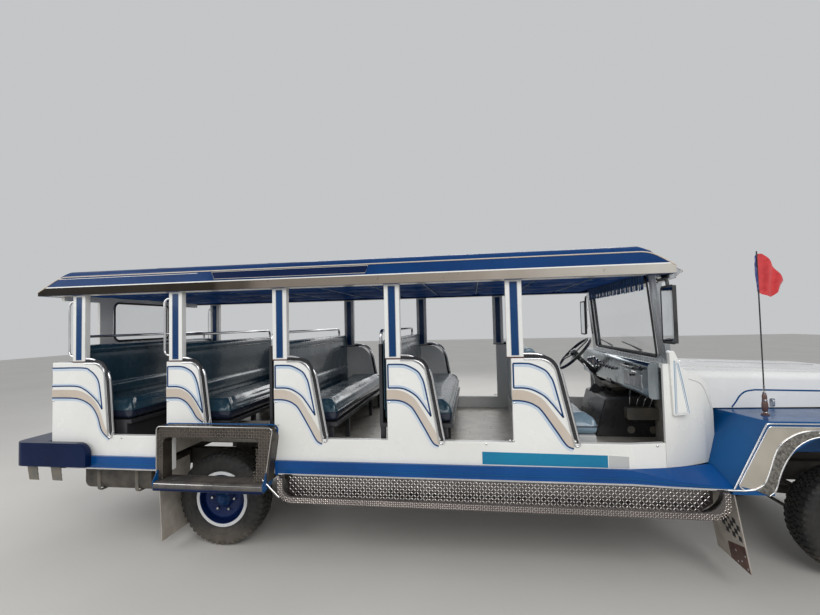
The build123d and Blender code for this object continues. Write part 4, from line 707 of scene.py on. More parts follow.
def painted_panels():
    """The painted loop, its pale haze, the tan sash and the sash's white border on each panel."""
    lines, haze, sash, border = shapes(4)

    def stripe(shape, path, width, proud):
        shape.ribbon(path, width, "y", -SIDE - proud, -SIDE)

    for pillar, swoop in zip(PILLARS, SWOOPS):
        closed = swoop.lines != "upright"
        starts = [swoop.rear + (0.012 if n < 2 and closed else 0.0) for n in range(4)]
        top, under, sash_top, sash_foot = [moved_along(panel_line(swoop, line, start), pillar)
                                           for line, start in zip(LINES[swoop.lines], starts)]
        for line in (top, under, sash_foot):
            stripe(lines, line, 0.011, 0.0011)
        if closed:
            stripe(lines, [top[0], under[0]], 0.011, 0.0011)
        stripe(haze, inner_line(top, 0.014)[:-3], 0.020, 0.0006)
        stripe(haze, inner_line(under, -0.012)[:-3], 0.014, 0.0006)
        stripe(haze, inner_line(sash_foot, 0.013), 0.018, 0.0006)
        sash.between(resample(sash_top, 40), resample(sash_foot, 40), "y", -SIDE - 0.0008, -SIDE)
        stripe(border, inner_line(sash_top, -0.004), 0.008, 0.001)
    lines.build_both("panel_lines", "line_blue")
    haze.build_both("panel_haze", "haze_blue")
    sash.build_both("panel_sashes", "tan")
    border.build_both("sash_borders", "white")


def panel_edges():
    """A bead on each panel's edge that turns back at its foot, and a web out to the rail, black as a painted
    reflection of the rail.
    """
    bead, web = shapes(2)
    inside_rail, outside_rail, turn_steps = -0.008, 0.028, 8
    for pillar, swoop in zip(PILLARS, SWOOPS):
        foot = 1.034 if swoop.lines == "short" else 0.918
        lean = (swoop.foot - swoop.corner) / (BELT_Z - SILL_Z)
        slope = (1 + lean * lean) ** 0.5

        def edge(out):
            """The panel's edge, moved out by a distance."""
            head = BELT_Z + out
            corner = pillar + edge_x(swoop, head) + out * slope
            sharp = [(pillar + PILLAR_HALF, head), (corner, head), (corner + lean * (head - foot), foot)]
            return rounded(sharp, swoop.radius + out, 12)

        inner, outer = edge(inside_rail), edge(outside_rail)
        middle, reach = (inner[-1] + outer[-1]) / 2, 0.5 * (outer[-1] - inner[-1]).length
        angles = [pi * k / turn_steps for k in range(1, turn_steps + 1)]
        turn = [middle + reach * Vector((-cos(a), -sin(a))) for a in angles]
        bead.tube(laid("y", inner + turn, -HALF - 0.0015) + [(outer[-1].x, -HALF + 0.006, foot + 0.03)],
                  0.0065, 10)
        # The web's black is painted reflection
        web.between(edge(-0.001), edge(0.019), "y", -HALF + 0.004, -HALF + 0.012)
    bead.build_both("edge_beads", "chrome", angle=60)
    web.build_both("edge_webs_painted_reflection", "black_paint")


def pillar_strips():
    """A deep-blue strip in a grey frame over each face of a pillar, and a dark red gasket under its foot."""
    low, high, groove, depth = BELT_Z + 0.014, ROOF_Z - 0.010, 0.006, 0.050
    for hand, side in (("right", -1), ("left", 1)):
        frames, strips, gasket = shapes(3)
        for x in PILLARS:
            for face, out in ((HALF, 1), (HALF - depth, -1)):
                floor_y = face - out * groove
                for shape, half, end, proud in ((frames, 0.0300, 0.0, 0.0064),
                                                (strips, 0.0260, 0.005, 0.0072)):
                    outline = soft_corners((x - half, low + end), (x + half, high - end), 0.004)
                    shape.prism(outline, "y", *sorted((side * floor_y, side * (floor_y + out * proud))))
            foot, head = PILLAR_HALF + 0.0015, PILLAR_HALF + 0.0008
            gasket.prism([(x - foot, BELT_Z), (x + foot, BELT_Z), (x + head, BELT_Z + 0.009),
                          (x - head, BELT_Z + 0.009)], "y",
                         *sorted((side * (HALF + 0.0015), side * (HALF - depth - 0.0015))))
        frames.build(f"pillar_frames_{hand}", "box_grey", bevel=0.001)
        strips.build(f"pillar_strips_{hand}", "line_blue", bevel=0.0015)
        gasket.build(f"pillar_gaskets_{hand}", "flap_maroon")


def screw_heads():
    """Domed cross-head screws on the body's sides."""
    heads = Shape()
    places = [(x, -HALF, 0.932) for x in (0.905, 0.49, 0.465)]
    places += [(pillar + swoop.rear + 0.014, -HALF, 1.195) for pillar, swoop in zip(PILLARS, SWOOPS)]
    places += [(1.44, -0.919, 0.905), (-2.60, -HALF, 0.900), (0.30, -HALF, 0.905)]
    for place in places:
        heads.lathe([(0, 0.008), (-0.0014, 0.0078), (-0.0032, 0.0055), (-0.004, 0.0022), (-0.0032, 0.0008)],
                    place, "y", 12, False)
    heads.build_both("side_screws", "steel")


def sill_trim():
    """The skirt band's crease and bright foot strip, and the flat painted rectangle on the sill."""
    rear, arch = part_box("side_skirts")[0].x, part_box("wheel_arches")
    band_y, taper, cowl_x, tip = HALF + 0.025, PILLARS[4] + 0.735, PILLARS[4] + 0.98, PILLARS[4] + 1.335
    crease, strip = shapes(2)
    for shape, z, drop, high, wide in ((crease, 0.700, 0.033, 0.008, 0.004),
                                       (strip, 0.6625, 0.0, 0.0075, 0.006)):
        for stations in ((rear + 0.004, arch[0].x - 0.006), (arch[1].x + 0.006, taper, cowl_x, tip)):
            rings = []
            for x in stations:
                y = -band_y if x <= taper else -HALF - (0.050 if x <= cowl_x else 0.068)
                level = z - drop * max(0.0, (x - taper) / (tip - taper))
                section = [(0.004, -1), (-wide * 0.7, -0.75), (-wide, 0), (-wide * 0.7, 0.75), (0.004, 1)]
                rings.append([(x, y + out, level + high * share) for out, share in section])
            shape.loft(rings)
    crease.build_both("band_crease", "fender_blue", angle=50)
    strip.build_both("band_strip", "chrome", angle=50)
    block, patch = shapes(2)
    block.prism([(0.270, 0.765), (1.110, 0.762), (1.110, 0.844), (0.270, 0.852)], "y", -HALF - 0.0012, -HALF)
    patch.prism([(1.116, 0.762), (1.245, 0.761), (1.245, 0.838), (1.116, 0.844)], "y", -HALF - 0.0012, -HALF)
    block.build_both("sill_rectangle", "teal_paint")
    patch.build_both("sill_patch", "box_grey")


painted_panels()
panel_edges()
pillar_strips()
sill_trim()
screw_heads()


# Tread plate: raised lugs on the running boards, arch surrounds and steps

def inside(point, outline):
    """True where a flat point lies within an outline."""
    hits = 0
    for a, b in zip(outline, outline[1:] + outline[:1]):
        if (a[1] > point[1]) != (b[1] > point[1]):
            hits += point[0] < a[0] + (point[1] - a[1]) * (b[0] - a[0]) / (b[1] - a[1])
    return hits % 2 == 1


def lug(shape, centre, along, out, size=0.0105):
    """One raised lens, lying along a direction and standing out from the plate."""
    across = out.cross(along)
    base = [(-1, 0), (-0.5, 0.3), (0.5, 0.3), (1, 0), (0.5, -0.3), (-0.5, -0.3)]
    ring = [centre + size * (a * along + b * across) for a, b in base]
    top = [centre + size * a * along + 0.0016 * out for a in (-0.5, 0.5)]
    shape.add(ring + top, [(0, 1, 6), (1, 2, 7, 6), (2, 3, 7), (3, 4, 7), (4, 5, 6, 7), (5, 0, 6)])


def lug_field(shape, axis, level, outline, side=-1, pitch=0.021):
    """Lugs in alternating directions over a flat face across an axis."""
    out = Vector(lay(axis, (0, 0), side))
    first_way = Vector(lay(axis, (1, 0), 0))
    second_way = Vector(lay(axis, (0, 1), 0))
    low = [min(p[k] for p in outline) for k in (0, 1)]
    high = [max(p[k] for p in outline) for k in (0, 1)]
    for i in range(int((high[0] - low[0]) / pitch) + 1):
        for j in range(int((high[1] - low[1]) / pitch) + 1):
            flat = (low[0] + (i + 0.5) * pitch, low[1] + (j + 0.5) * pitch)
            if inside(flat, outline):
                way = (first_way + (1 if (i + j) % 2 else -1) * second_way).normalized()
                lug(shape, Vector(lay(axis, flat, level)), way, out)


def board_lugs():
    """Lugs on the running boards: the upright plate, the tread and three rows along the rolled lip, pale as
    painted highlight on a plate darkened as painted shade.
    """
    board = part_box("running_boards")
    rear, end, low, high = board[0].x, board[1].x, board[0].z, board[1].z
    face, outer, spacing, row_gap = HALF + 0.012, board[1].y, 0.015, 0.013
    plate, lip = shapes(2)
    lug_field(plate, "y", -face, [(rear + 0.05, high), (rear + 0.05, low + 0.07), (rear + 0.11, low + 0.012),
                                  (end - 0.16, low + 0.012), (end - 0.07, low + 0.08), (end - 0.07, high)])
    lug_field(plate, "z", low + 0.012, corners((rear + 0.14, -outer + 0.016), (end - 0.19, -face - 0.004)), 1)
    path = rounded([(rear + 0.022, 0, high), (rear + 0.022, 0, low + 0.022), (end - 0.022, 0, low + 0.022),
                    (end - 0.022, 0, high)], 0.11, 8)
    run, count = 0.0, 0
    for a, b in zip(path, path[1:]):
        way = (b - a).normalized()
        across = Vector((-way.z, 0, way.x))
        while run < (b - a).length:
            for row in (-1, 0, 1):
                turn = (way + (1 if (count + row) % 2 else -1) * across).normalized()
                centre = a + way * run + across * row_gap * row + Vector((0, -outer, 0))
                lug(lip, centre, turn, Vector((0, -1, 0)), 0.007)
            run += spacing
            count += 1
        run -= (b - a).length
    plate.build_both("board_lugs", "tread_lug_painted_highlight", angle=20)
    lip.build_both("lip_lugs", "lip", angle=20)


def arch_lugs():
    """Lugs on the rear arches' two legs, crown and top, with a blue bead inside and a bright one outside."""
    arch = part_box("wheel_arches")
    rear, end, low, high, out = arch[0].x, arch[1].x, arch[0].z, arch[1].z, arch[1].y
    crown = high - 0.082
    plate, bead, edge = shapes(3)
    for outline in ([(rear, high), (rear, low), (rear + 0.06, low), (rear + 0.06, crown)],
                    [(rear, high), (rear + 0.06, crown), (end - 0.12, crown), (end, high)],
                    [(end, high), (end - 0.12, crown), (end - 0.16, low), (end - 0.06, low)]):
        lug_field(plate, "y", -out, outline)
    lug_field(plate, "z", high, corners((rear, -out), (end, -HALF)), 1)
    outline = [(rear + 0.004, low + 0.02), (rear + 0.004, high), (end, high), (end - 0.062, low + 0.02)]
    bead.tube(rounded(laid("y", outline, -HALF - 0.004), 0.04, 5), 0.0065, 8)
    edge.tube(rounded(laid("y", outline, -out), 0.03, 5), 0.004, 8)
    # The lugs' lighter colour is painted highlight
    plate.build_both("arch_lugs", "dark_lug_painted_highlight", angle=20)
    bead.build_both("arch_beads", "fender_blue", angle=60)
    edge.build_both("arch_edges", "steel", angle=60)


def step_parts():
    """Lugs on the steps, their blue end brackets and a bright wire along the roll."""
    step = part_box("arch_steps")
    rear, end, low, high, out = step[0].x, step[1].x, step[0].z, step[1].z, step[1].y
    lugs, bracket, wire = shapes(3)
    wall, top = -0.948, 0.700
    lug_field(lugs, "z", high, corners((rear + 0.01, -out + 0.03), (end - 0.01, -1.052)), 1)
    outline = rounded([(wall, top), (wall, high - 0.030), (-out + 0.004, low + 0.004),
                       (-out - 0.004, high - 0.004), (-1.052, top)], 0.03, 5, True)
    for x in (rear - 0.005, end + 0.001):
        bracket.prism(outline, "x", x, x + 0.004)
    wire.tube([(x, -out + 0.003, high - 0.010) for x in (rear + 0.004, end - 0.004)], 0.003, 8)
    # The lugs' lighter colour is painted highlight
    lugs.build_both("step_lugs", "dark_lug_painted_highlight", angle=20)
    bracket.build_both("step_brackets", "fender_blue", bevel=0.001)
    wire.build_both("step_wires", "steel")


board_lugs()
arch_lugs()
step_parts()


# Roof: fascia bands, drip rail, blank sign, padded ceiling, fringe and visor edge

roof_low, roof_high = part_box("roof_shell")
ROOF_HALF = roof_high.y
BROW = Vector((roof_high.x, ROOF_Z + 0.053))
SHOULDER = (BROW.x - 0.157, ROOF_Z + 0.151)
TAIL = (roof_low.x + 0.215, ROOF_Z + 0.149)


def roof_bands():
    """Drip rails, painted lines and the fascia under them, the gutter's pale underside and the blank sign."""
    rail, line, fascia, under, sign, border = shapes(6)
    back, brow, side = roof_low.x, BROW.x, -ROOF_HALF
    edge = rounded([(back + 0.004, ROOF_Z + 0.033), TAIL, SHOULDER, BROW], 0.25, 8)
    rail.tube(laid("y", edge, side - 0.001), 0.0045, 10)
    rail.tube([(p.x, side + 0.030, p.y + 0.024) for p in edge[4:-4]], 0.004, 8)
    low_line = [(back + 0.068, ROOF_Z + 0.068), (brow - 0.028, ROOF_Z + 0.068)]
    high_line = [(back + 0.20, ROOF_Z + 0.133), (back + 1.45, ROOF_Z + 0.136)]
    line.ribbon(low_line, 0.008, "y", side - 0.0016, side)
    line.ribbon(high_line, 0.003, "y", side - 0.0014, side)
    low, high = ROOF_Z + 0.0015, ROOF_Z + 0.064
    fascia.prism([(back + 0.001, low), (brow - 0.001, low), (brow - 0.001, ROOF_Z + 0.050),
                  (brow - 0.019, high), (back + 0.060, high), (back + 0.001, ROOF_Z + 0.031)],
                 "y", side - 0.0012, side)
    clear = PILLAR_HALF + 0.003
    starts, ends = [back + 0.09] + [x + clear for x in PILLARS], [x - clear for x in PILLARS] + [1.40]
    for start, end in zip(starts, ends):
        under.prism(corners((start, side + 0.008), (end, -0.886)), "z", ROOF_Z - 0.0012, ROOF_Z)
    outline = [(-1.769, 2.205), (-1.750, 2.150), (-0.542, 2.150), (-0.520, 2.205)]
    sign.prism(outline, "y", side - 0.0022, side)
    border.tube(laid("y", outline, side - 0.0022), 0.0022, 6, True)
    rail.build_both("drip_rails", "tan", angle=60)
    line.build_both("fascia_lines", "white")
    fascia.build_both("fascia_bands", "fascia")
    under.build_both("gutter_undersides", "cream")
    sign.build_both("sign_blanks", "navy")
    border.build_both("sign_borders", "cream", angle=60)


def pillow(shape, low, high, level, puff, steps=8):
    """A pad on a ceiling: flat above, crowned below, with its edges pulled in."""
    rows = []
    for i in range(steps + 1):
        u = 2 * i / steps - 1
        x = low[0] + (high[0] - low[0]) * i / steps
        row = []
        for j in range(steps + 1):
            v = 2 * j / steps - 1
            crown = (1 - u ** 6) ** 0.5 * (1 - v ** 6) ** 0.5
            row.append((x, low[1] + (high[1] - low[1]) * j / steps, level - 0.002 - puff * crown))
        rows.append(row)
    shape.loft(rows, closed=False)
    ring = rows[0] + [row[-1] for row in rows[1:]] + rows[-1][-2::-1] + [row[0] for row in rows[-2:0:-1]]
    top = laid("z", ring, level)
    shape.loft([top, ring], caps=False)
    shape.add(top, [tuple(range(len(top)))])


def padded_ceiling():
    """Buttoned vinyl squares under the ceiling board, with pale piping between them."""
    pads, piping = shapes(2)
    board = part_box("ceiling_panel")[0].z
    xs = [roof_low.x + 0.10 + n * BAY / 2 for n in range(11)] + [1.44]
    ys = [-0.870 + n * 0.435 for n in range(5)]
    for rear, front in zip(xs, xs[1:]):
        for right, left in zip(ys, ys[1:]):
            pillow(pads, (rear, right), (front, left), board, 0.018)
    for x in xs[1:-1]:
        piping.tube(laid("z", [(x, ys[0]), (x, ys[-1])], board - 0.006), 0.004, 8)
    for y in ys[1:-1]:
        piping.tube(laid("z", [(xs[0], y), (xs[-1], y)], board - 0.006), 0.004, 8)
    pads.build("ceiling_pads", "ceiling", angle=70)
    piping.build("ceiling_piping", "piping", angle=60)


def valance():
    """A gathered cloth strip with a tasselled fringe along the windshield's head."""
    half, high, low, middle_x, folds, tassel_count = 0.72, 2.093, 2.030, 1.474, 360, 96

    def fold(y):
        return middle_x + 0.0055 * sin(y * 118)

    rings = []
    for n in range(folds + 1):
        y = half * (2 * n / folds - 1)
        x = fold(y) + 0.002 * sin(y * 31)
        rings.append(laid("y", corners((x - 0.0006, low), (x + 0.0006, high))[::-1], y))
    strip = Shape().loft(rings).build("valance", "fringe")
    fringe = Shape()
    for n in range(tassel_count):
        y = half * (2 * (n + 0.5) / tassel_count - 1)
        drop = 0.050 + 0.004 * sin(n * 2.4)
        fringe.tube([(fold(y), y, low + z) for z in (0.006, -0.008, -0.016, -drop)],
                    [0.0035, 0.0042, 0.0026, 0.0052], 7)
    tassels = fringe.build("valance_fringe", "fringe", angle=60)


def visor_trim():
    """A pale rolled edge round the visor's peak and its two pointed ends, and ribs down its top."""
    edge, rib = shapes(2)
    facets, rib_count, half, front = 6, 24, ROOF_HALF - 0.050, roof_high.x
    stations = [2 * n / facets - 1 for n in range(facets + 1)]
    tip = [Vector((front + 0.061 + 0.180 * (1 - s * s), s * half, ROOF_Z + 0.017)) for s in stations]
    chin = [(front - 0.024 + 0.6 * (p.x - front), p.y, ROOF_Z - 0.030) for p in tip]
    head = [Vector((front, p.y, BROW.y)) for p in tip]
    edge.tube(tip, 0.0042, 8)
    for n in (0, -1):
        edge.tube([head[n], tip[n], chin[n]], 0.003, 8)
    for k in range(1, rib_count):
        n, t = divmod(facets * k / rib_count, 1)
        n = int(n)
        rib.tube([head[n].lerp(head[n + 1], t), tip[n].lerp(tip[n + 1], t)], 0.0022, 6)
    edge.build("visor_edge", "lip", angle=60)
    rib.build("visor_ribs", "steel", angle=60)


roof_bands()
padded_ceiling()
valance()
visor_trim()


# Front end: fender trim, hood lines, grille, lamps, windshield and wing plates

SKINS = {}  # search trees of the CAD nodes that rays have been sent at
AHEAD, INWARD, DOWN = (-1, 0, 0), (0, 1, 0), (0, 0, -1)  # rays from ahead, from the right and from above


def skin_point(node, point, way):
    """Where a ray first meets a CAD node, and which way the surface faces there."""
    if node not in SKINS:
        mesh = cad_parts[node].data
        SKINS[node] = BVHTree.FromPolygons([v.co for v in mesh.vertices],
                                           [p.vertices[:] for p in mesh.polygons])
    return SKINS[node].ray_cast(Vector(point), Vector(way))[:2]


def skin_stripe(shape, node, path, width, proud, way=INWARD, steps=4):
    """A flat stripe laid on a curved node. The path's points are looked for along the way from outside."""
    found = [skin_point(node, point, way) for point in smooth(path, steps)]
    spots = [(place, face) for place, face in found if place is not None]
    rings = []
    for n, (place, face) in enumerate(spots):
        run = (spots[min(n + 1, len(spots) - 1)][0] - spots[max(n - 1, 0)][0]).normalized()
        across = face.cross(run).normalized() * width / 2
        rings.append([place - across - face * 0.001, place + across - face * 0.001,
                      place + across * 0.8 + face * proud, place - across * 0.8 + face * proud])
    shape.loft(rings)


def inset(outline, gap):
    """An outline drawn in by an even distance. It runs anticlockwise."""
    pts = [Vector(p) for p in outline]
    out = []
    for n, p in enumerate(pts):
        a, b = (p - pts[n - 1]).normalized(), (pts[(n + 1) % len(pts)] - p).normalized()
        first_way, second_way = Vector((-a.y, a.x)), Vector((-b.y, b.x))
        out.append(p + gap * (first_way + second_way) / (1 + first_way.dot(second_way)))
    return out


FENDER_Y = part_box("front_fender_right")[0].y
AXLE_X = (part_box("tyre_front_right")[0].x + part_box("tyre_front_right")[1].x) / 2
# The front arch lip's outer and inner edge, up its rear side
LIP_OUT = [(1.960, 0.672), (2.016, 0.710), (2.049, 0.785), (2.078, 0.873), (2.111, 0.945), (2.169, 0.998),
           (2.246, 1.035), (2.351, 1.050)]
LIP_IN = [(2.040, 0.637), (2.077, 0.672), (2.100, 0.745), (2.128, 0.817), (2.165, 0.885), (2.212, 0.945),
          (2.281, 0.990), (2.357, 1.012)]


def over_wheel(points):
    """A line up the arch's rear side, carried over the wheel and down in front."""
    ahead = [(AXLE_X + (AXLE_X - x) * (0.80 if x < 2.2 else 0.86), z) for x, z in reversed(points)]
    return [tuple(p) for p in smooth(points, 4)] + [tuple(p) for p in smooth(ahead, 4)]


def fender_trim():
    """The front arch's beaten lip and studs, the fender's beads and bright panel, and the wheel's well."""
    lip, beads, panel, liner, studs = shapes(5)
    outer, inner, side = over_wheel(LIP_OUT), over_wheel(LIP_IN), FENDER_Y
    middle = [((ax + bx) / 2, (az + bz) / 2) for (ax, az), (bx, bz) in zip(outer, inner)]
    lip.loft([[lay("y", a, side + 0.001), lay("y", a, side - 0.004), lay("y", m, side - 0.010),
               lay("y", b, side - 0.005), lay("y", b, side + 0.012), lay("y", a, side + 0.001)]
              for a, m, b in zip(outer, middle, inner)])
    beads.tube(laid("y", outer, side - 0.003), 0.0045, 8)
    beads.tube(laid("y", inner, side - 0.004), 0.0045, 8)
    top = [(1.842, 0.672), (2.049, 1.086), (3.325, 1.086), (3.376, 1.008), (3.376, 0.650)]
    second = [(1.905, 0.667), (1.868, 0.690), (2.060, 1.066), (3.315, 1.066), (3.360, 1.000), (3.360, 0.650)]
    for line in (top, second):
        beads.tube(rounded(laid("y", line, side - 0.002), 0.018, 4), 0.0055, 8)
    foot = [(1.800, side - 0.001, 0.664), (1.900, side - 0.002, 0.664), (1.960, side - 0.002, 0.672)]
    beads.tube(rounded(foot, 0.04, 4), 0.0065, 8)
    arch = [p for p in outer if p[0] > AXLE_X][::-1] + [p for p in outer if p[0] <= AXLE_X][::-1]
    # The bright panel's warm tint is painted reflection
    panel.prism([(1.868, 0.692), (2.060, 1.064), (3.315, 1.064), (3.358, 0.998), (3.358, 0.652),
                 (outer[-1][0], 0.652)] + arch, "y", side - 0.0018, side)
    well = rounded([(2.082, 0.640), (2.128, 0.850), (2.400, 1.040), (3.090, 1.040), (3.275, 0.850),
                    (3.325, 0.640)], 0.2, 6)
    liner.between(well, inner_line(well, -0.004), "y", side + 0.027, side + 0.370)
    for n in range(1, len(outer), 2):
        (ax, az), (bx, bz) = outer[n], inner[n]
        way = Vector((ax - bx, 0, az - bz)).normalized()
        slanted = (way + Vector((way.z, 0, -way.x))).normalized()
        lug(studs, Vector(lay("y", middle[n], side - 0.0098)), slanted, Vector((0, -1, 0)), 0.012)
    lip.build_both("arch_lips", "hammered", angle=60)
    beads.build_both("fender_beads", "chrome", angle=60)
    panel.build_both("fender_panels", "fender_steel_painted_reflection")
    liner.build_both("wheel_wells", "frame_black")
    studs.build_both("lip_studs", "hammered", angle=20)


def hood_trim():
    """The blue line along the hood's flank, the bright bead along its middle and the latches."""
    line, seam, latches = shapes(3)
    outside, above = -1.5, 2
    rear = [(2.076, 1.110), (2.107, 1.151), (2.133, 1.190), (2.175, 1.222), (2.240, 1.233)]
    ahead = [(2.238, 1.233), (2.68, 1.221), (3.10, 1.210)]
    skin_stripe(line, "hood", laid("y", rear, outside), 0.013, 0.0012)
    skin_stripe(line, "hood", laid("y", ahead, outside), 0.013, 0.0012, steps=12)
    skin_stripe(seam, "hood", [(x, 0, above) for x in (1.80, 2.5, 3.05)], 0.014, 0.0035, DOWN, 12)
    line.build_both("hood_lines", "fender_blue", "hood")
    seam.build("hood_bead", "chrome", "hood", angle=50)
    for x in (2.35, 2.95):
        y = skin_point("hood", (x, outside, 1.150), INWARD)[0].y
        plate = soft_corners((x - 0.018, 1.112), (x + 0.018, 1.172), 0.008, 3)
        latches.prism(plate, "y", y - 0.004, y + 0.001)
        latches.tube(rounded([(x, y - 0.006, 1.118), (x, y - 0.020, 1.126), (x, y - 0.020, 1.158),
                              (x, y - 0.004, 1.166)], 0.008, 4), 0.004, 8)
    latches.build_both("hood_latches", "chrome", "hood", angle=50)


def wing_plates():
    """White plates with a pale double outline, from the windshield's posts down over the cowl."""
    plate, lines = shapes(2)
    sharp = [(1.556, 1.105), (1.665, 1.118), (1.628, 1.344), (1.606, 1.462), (1.572, 1.548), (1.543, 1.530)]
    outline, face_y, post_foot = rounded(sharp, 0.010, 3, True), -0.9115, 1.450

    def back_y(x, z):
        return -0.872 if z > post_foot else -0.905 + (x - 1.499) * 0.28 + 0.004

    plate.loft([laid("y", inset(outline, 0.003), face_y), laid("y", outline, face_y + 0.002),
                [(p.x, back_y(p.x, p.y), p.y) for p in outline]])
    for gap, radius in ((0.011, 0.0030), (0.020, 0.0015)):
        lines.tube(laid("y", inset(sharp[:4] + [(1.560, 1.500)], gap), face_y - 0.0002), radius, 6, True)
    plate.build_both("wing_plates", "white", angle=30)
    lines.build_both("wing_plate_lines", "plate_blue", angle=60)


def screen_plane(y, z, out=0.0):
    """A place on the raked windshield, so far ahead of its middle plane."""
    return Vector((1.558 - 0.0855 * (z - 1.485) + out, y, z))


def windshield_parts():
    """Dark rubber round the pane and a bright bead outside it, on both faces, and the wipers in front."""
    seal, bead, wipers, blades = shapes(4)
    pane = corners((-0.736, 1.491), (0.736, 2.058))
    wide = [(y * 1.022, z + (0.014 if z > 1.8 else -0.014)) for y, z in pane]
    for out in (-0.0185, 0.0185):
        for shape, outline, corner, size in ((seal, pane, 0.035, 0.011), (bead, wide, 0.045, 0.004)):
            shape.tube(rounded([screen_plane(y, z, out) for y, z in outline], corner, 5, True), size, 8, True)
    for y in (-0.42, 0.28):
        pivot, end = screen_plane(y, 1.478, 0.030), screen_plane(y + 0.30, 1.532, 0.030)
        wipers.lathe([(-0.016, 0.004), (-0.016, 0.012), (0.006, 0.012), (0.009, 0.008), (0.009, 0.001)],
                     pivot, "x", 16)
        wipers.tube([pivot, pivot.lerp(end, 0.5) + Vector((0.008, 0, 0)), end], [0.006, 0.004, 0.003], 8)
        a, b = screen_plane(y + 0.08, 1.512, 0.020), screen_plane(y + 0.50, 1.560, 0.020)
        for out, size in ((0.008, 0.0045), (0.0, 0.003)):
            forward = Vector((out, 0, 0))
            blades.tube([a + forward, a.lerp(b, 0.5) + forward + Vector((0.003, 0, 0)), b + forward], size, 6)
    seal.build("screen_rubber", "flap_dark", angle=60)
    bead.build("screen_bead", "chrome", angle=60)
    wipers.build("wiper_arms", "mirror_black", angle=50)
    blades.build("wiper_blades", "flap_dark", angle=50)


def lamp_faces():
    """Bezels and fluted glasses for the headlamps and the small lamps beside them."""
    bezel, bowl = shapes(2)
    for y, z, r in ((0.430, 1.010, 0.095), (0.800, 0.960, 0.045)):
        place = (skin_point("front_lamps", (5, -y, z), AHEAD)[0].x, -y, z)
        bezel.lathe([(-0.012, r + 0.001), (-0.004, r + 0.012), (0.004, r + 0.010), (0.008, r),
                     (0.005, r - 0.008), (-0.002, r - 0.007)], place, "x", 48)
        bowl.lathe([(-0.004, r * 0.96), (0.0012, r * 0.90), (0.0035, r * 0.5), (0.0042, 0.003)], place,
                   "x", 48, False)
    bezel.build_both("lamp_bezels", "chrome", angle=50)
    bowl.build_both("lamp_lenses", "lens_flutes", angle=30)


def grille_parts():
    """A chrome surround and a bright bar on each of the grille's slats."""
    low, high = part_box("grille")
    edge, bars = shapes(2)
    face, margin, slats, half = high.x, 0.012, 10, 0.290
    outline = corners((low.y + margin, low.z + margin), (high.y - margin, high.z - margin))
    edge.tube(rounded(laid("x", outline, face + 0.001), 0.03, 5, True), 0.007, 8, True)
    for n in range(slats):
        y = half * (2 * n / (slats - 1) - 1)
        slat = skin_point("grille", (5, y, 1.0), AHEAD)[0]
        if slat is not None and slat.x > face - 0.01:
            bars.loft([[(face, y - 0.010, z), (face + 0.008, y, z), (face, y + 0.010, z)]
                       for z in (low.z + 0.10, high.z - 0.10)])
    edge.build("grille_surround", "chrome", angle=60)
    bars.build("grille_bars", "chrome", angle=60)


def blank_plates():
    """Blank number plates with bolts, on the front bumper and the rear wall."""
    plate, bolts = shapes(2)
    half_wide, half_high = 0.165, 0.062
    for x, z, way in ((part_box("front_bumper")[1].x, 0.555, 1), (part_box("rear_bumper")[0].x, 0.775, -1)):
        outline = soft_corners((-half_wide, z - half_high), (half_wide, z + half_high), 0.012)
        plate.prism(outline, "x", *sorted((x - way * 0.001, x + way * 0.003)))
        for y in (-0.11, 0.11):
            bolts.lathe([(0, 0.009), (way * 0.005, 0.009), (way * 0.007, 0.004), (way * 0.007, 0.001)],
                        (x + way * 0.003, y, z + 0.04), "x", 6, False)
    plate.build("number_plates", "hood_white", bevel=0.001)
    bolts.build("plate_bolts", "steel")


def flap_patches():
    """The front flaps' checker patch, dark red foot, studs and pale edge."""
    dark, red, studs, edge = shapes(4)
    low, high, thick, square = 0.130, 0.635, 0.0066, 0.034

    def flap_x(z):
        return 1.845 + 0.080 * (high - z) / (high - low) + 0.0065

    def on_flap(ring, out):
        return [(flap_x(z) + out, y, z) for y, z in ring]

    for row in range(4):
        for column in range(6):
            if (row + column) % 2:
                y, z = -0.985 + column * square, 0.455 - row * square
                ring = [(y, z), (y + square, z), (y + square, z - square), (y, z - square)]
                dark.loft([on_flap(ring, 0.0), on_flap(ring, 0.0012)])
                dark.loft([on_flap(ring, -thick), on_flap(ring, -thick - 0.0012)])
    foot = [(-0.998, 0.132), (-0.998, 0.300), (-0.800, 0.245), (-0.800, 0.132)]
    for face, deep in ((0.0, 0.0010), (-thick, -0.0010)):
        red.loft([on_flap(foot, face), on_flap(foot, face + deep)])
        for y, z in ((-0.980, 0.155), (-0.980, 0.235), (-0.930, 0.180), (-0.880, 0.155), (-0.880, 0.225)):
            studs.lathe([(0, 0.008), (3 * deep, 0.006), (4 * deep, 0.002)], (flap_x(z) + face, y, z), "x", 12,
                        False)
    edge.tube(on_flap([(-1.001, z) for z in (0.630, 0.38, 0.133)], -0.003), 0.004, 8)
    dark.build_both("flap_checkers", "flap_dark")
    red.build_both("flap_feet", "flap_maroon")
    studs.build_both("flap_studs", "steel")
    edge.build_both("flap_edges", "flap", angle=60)


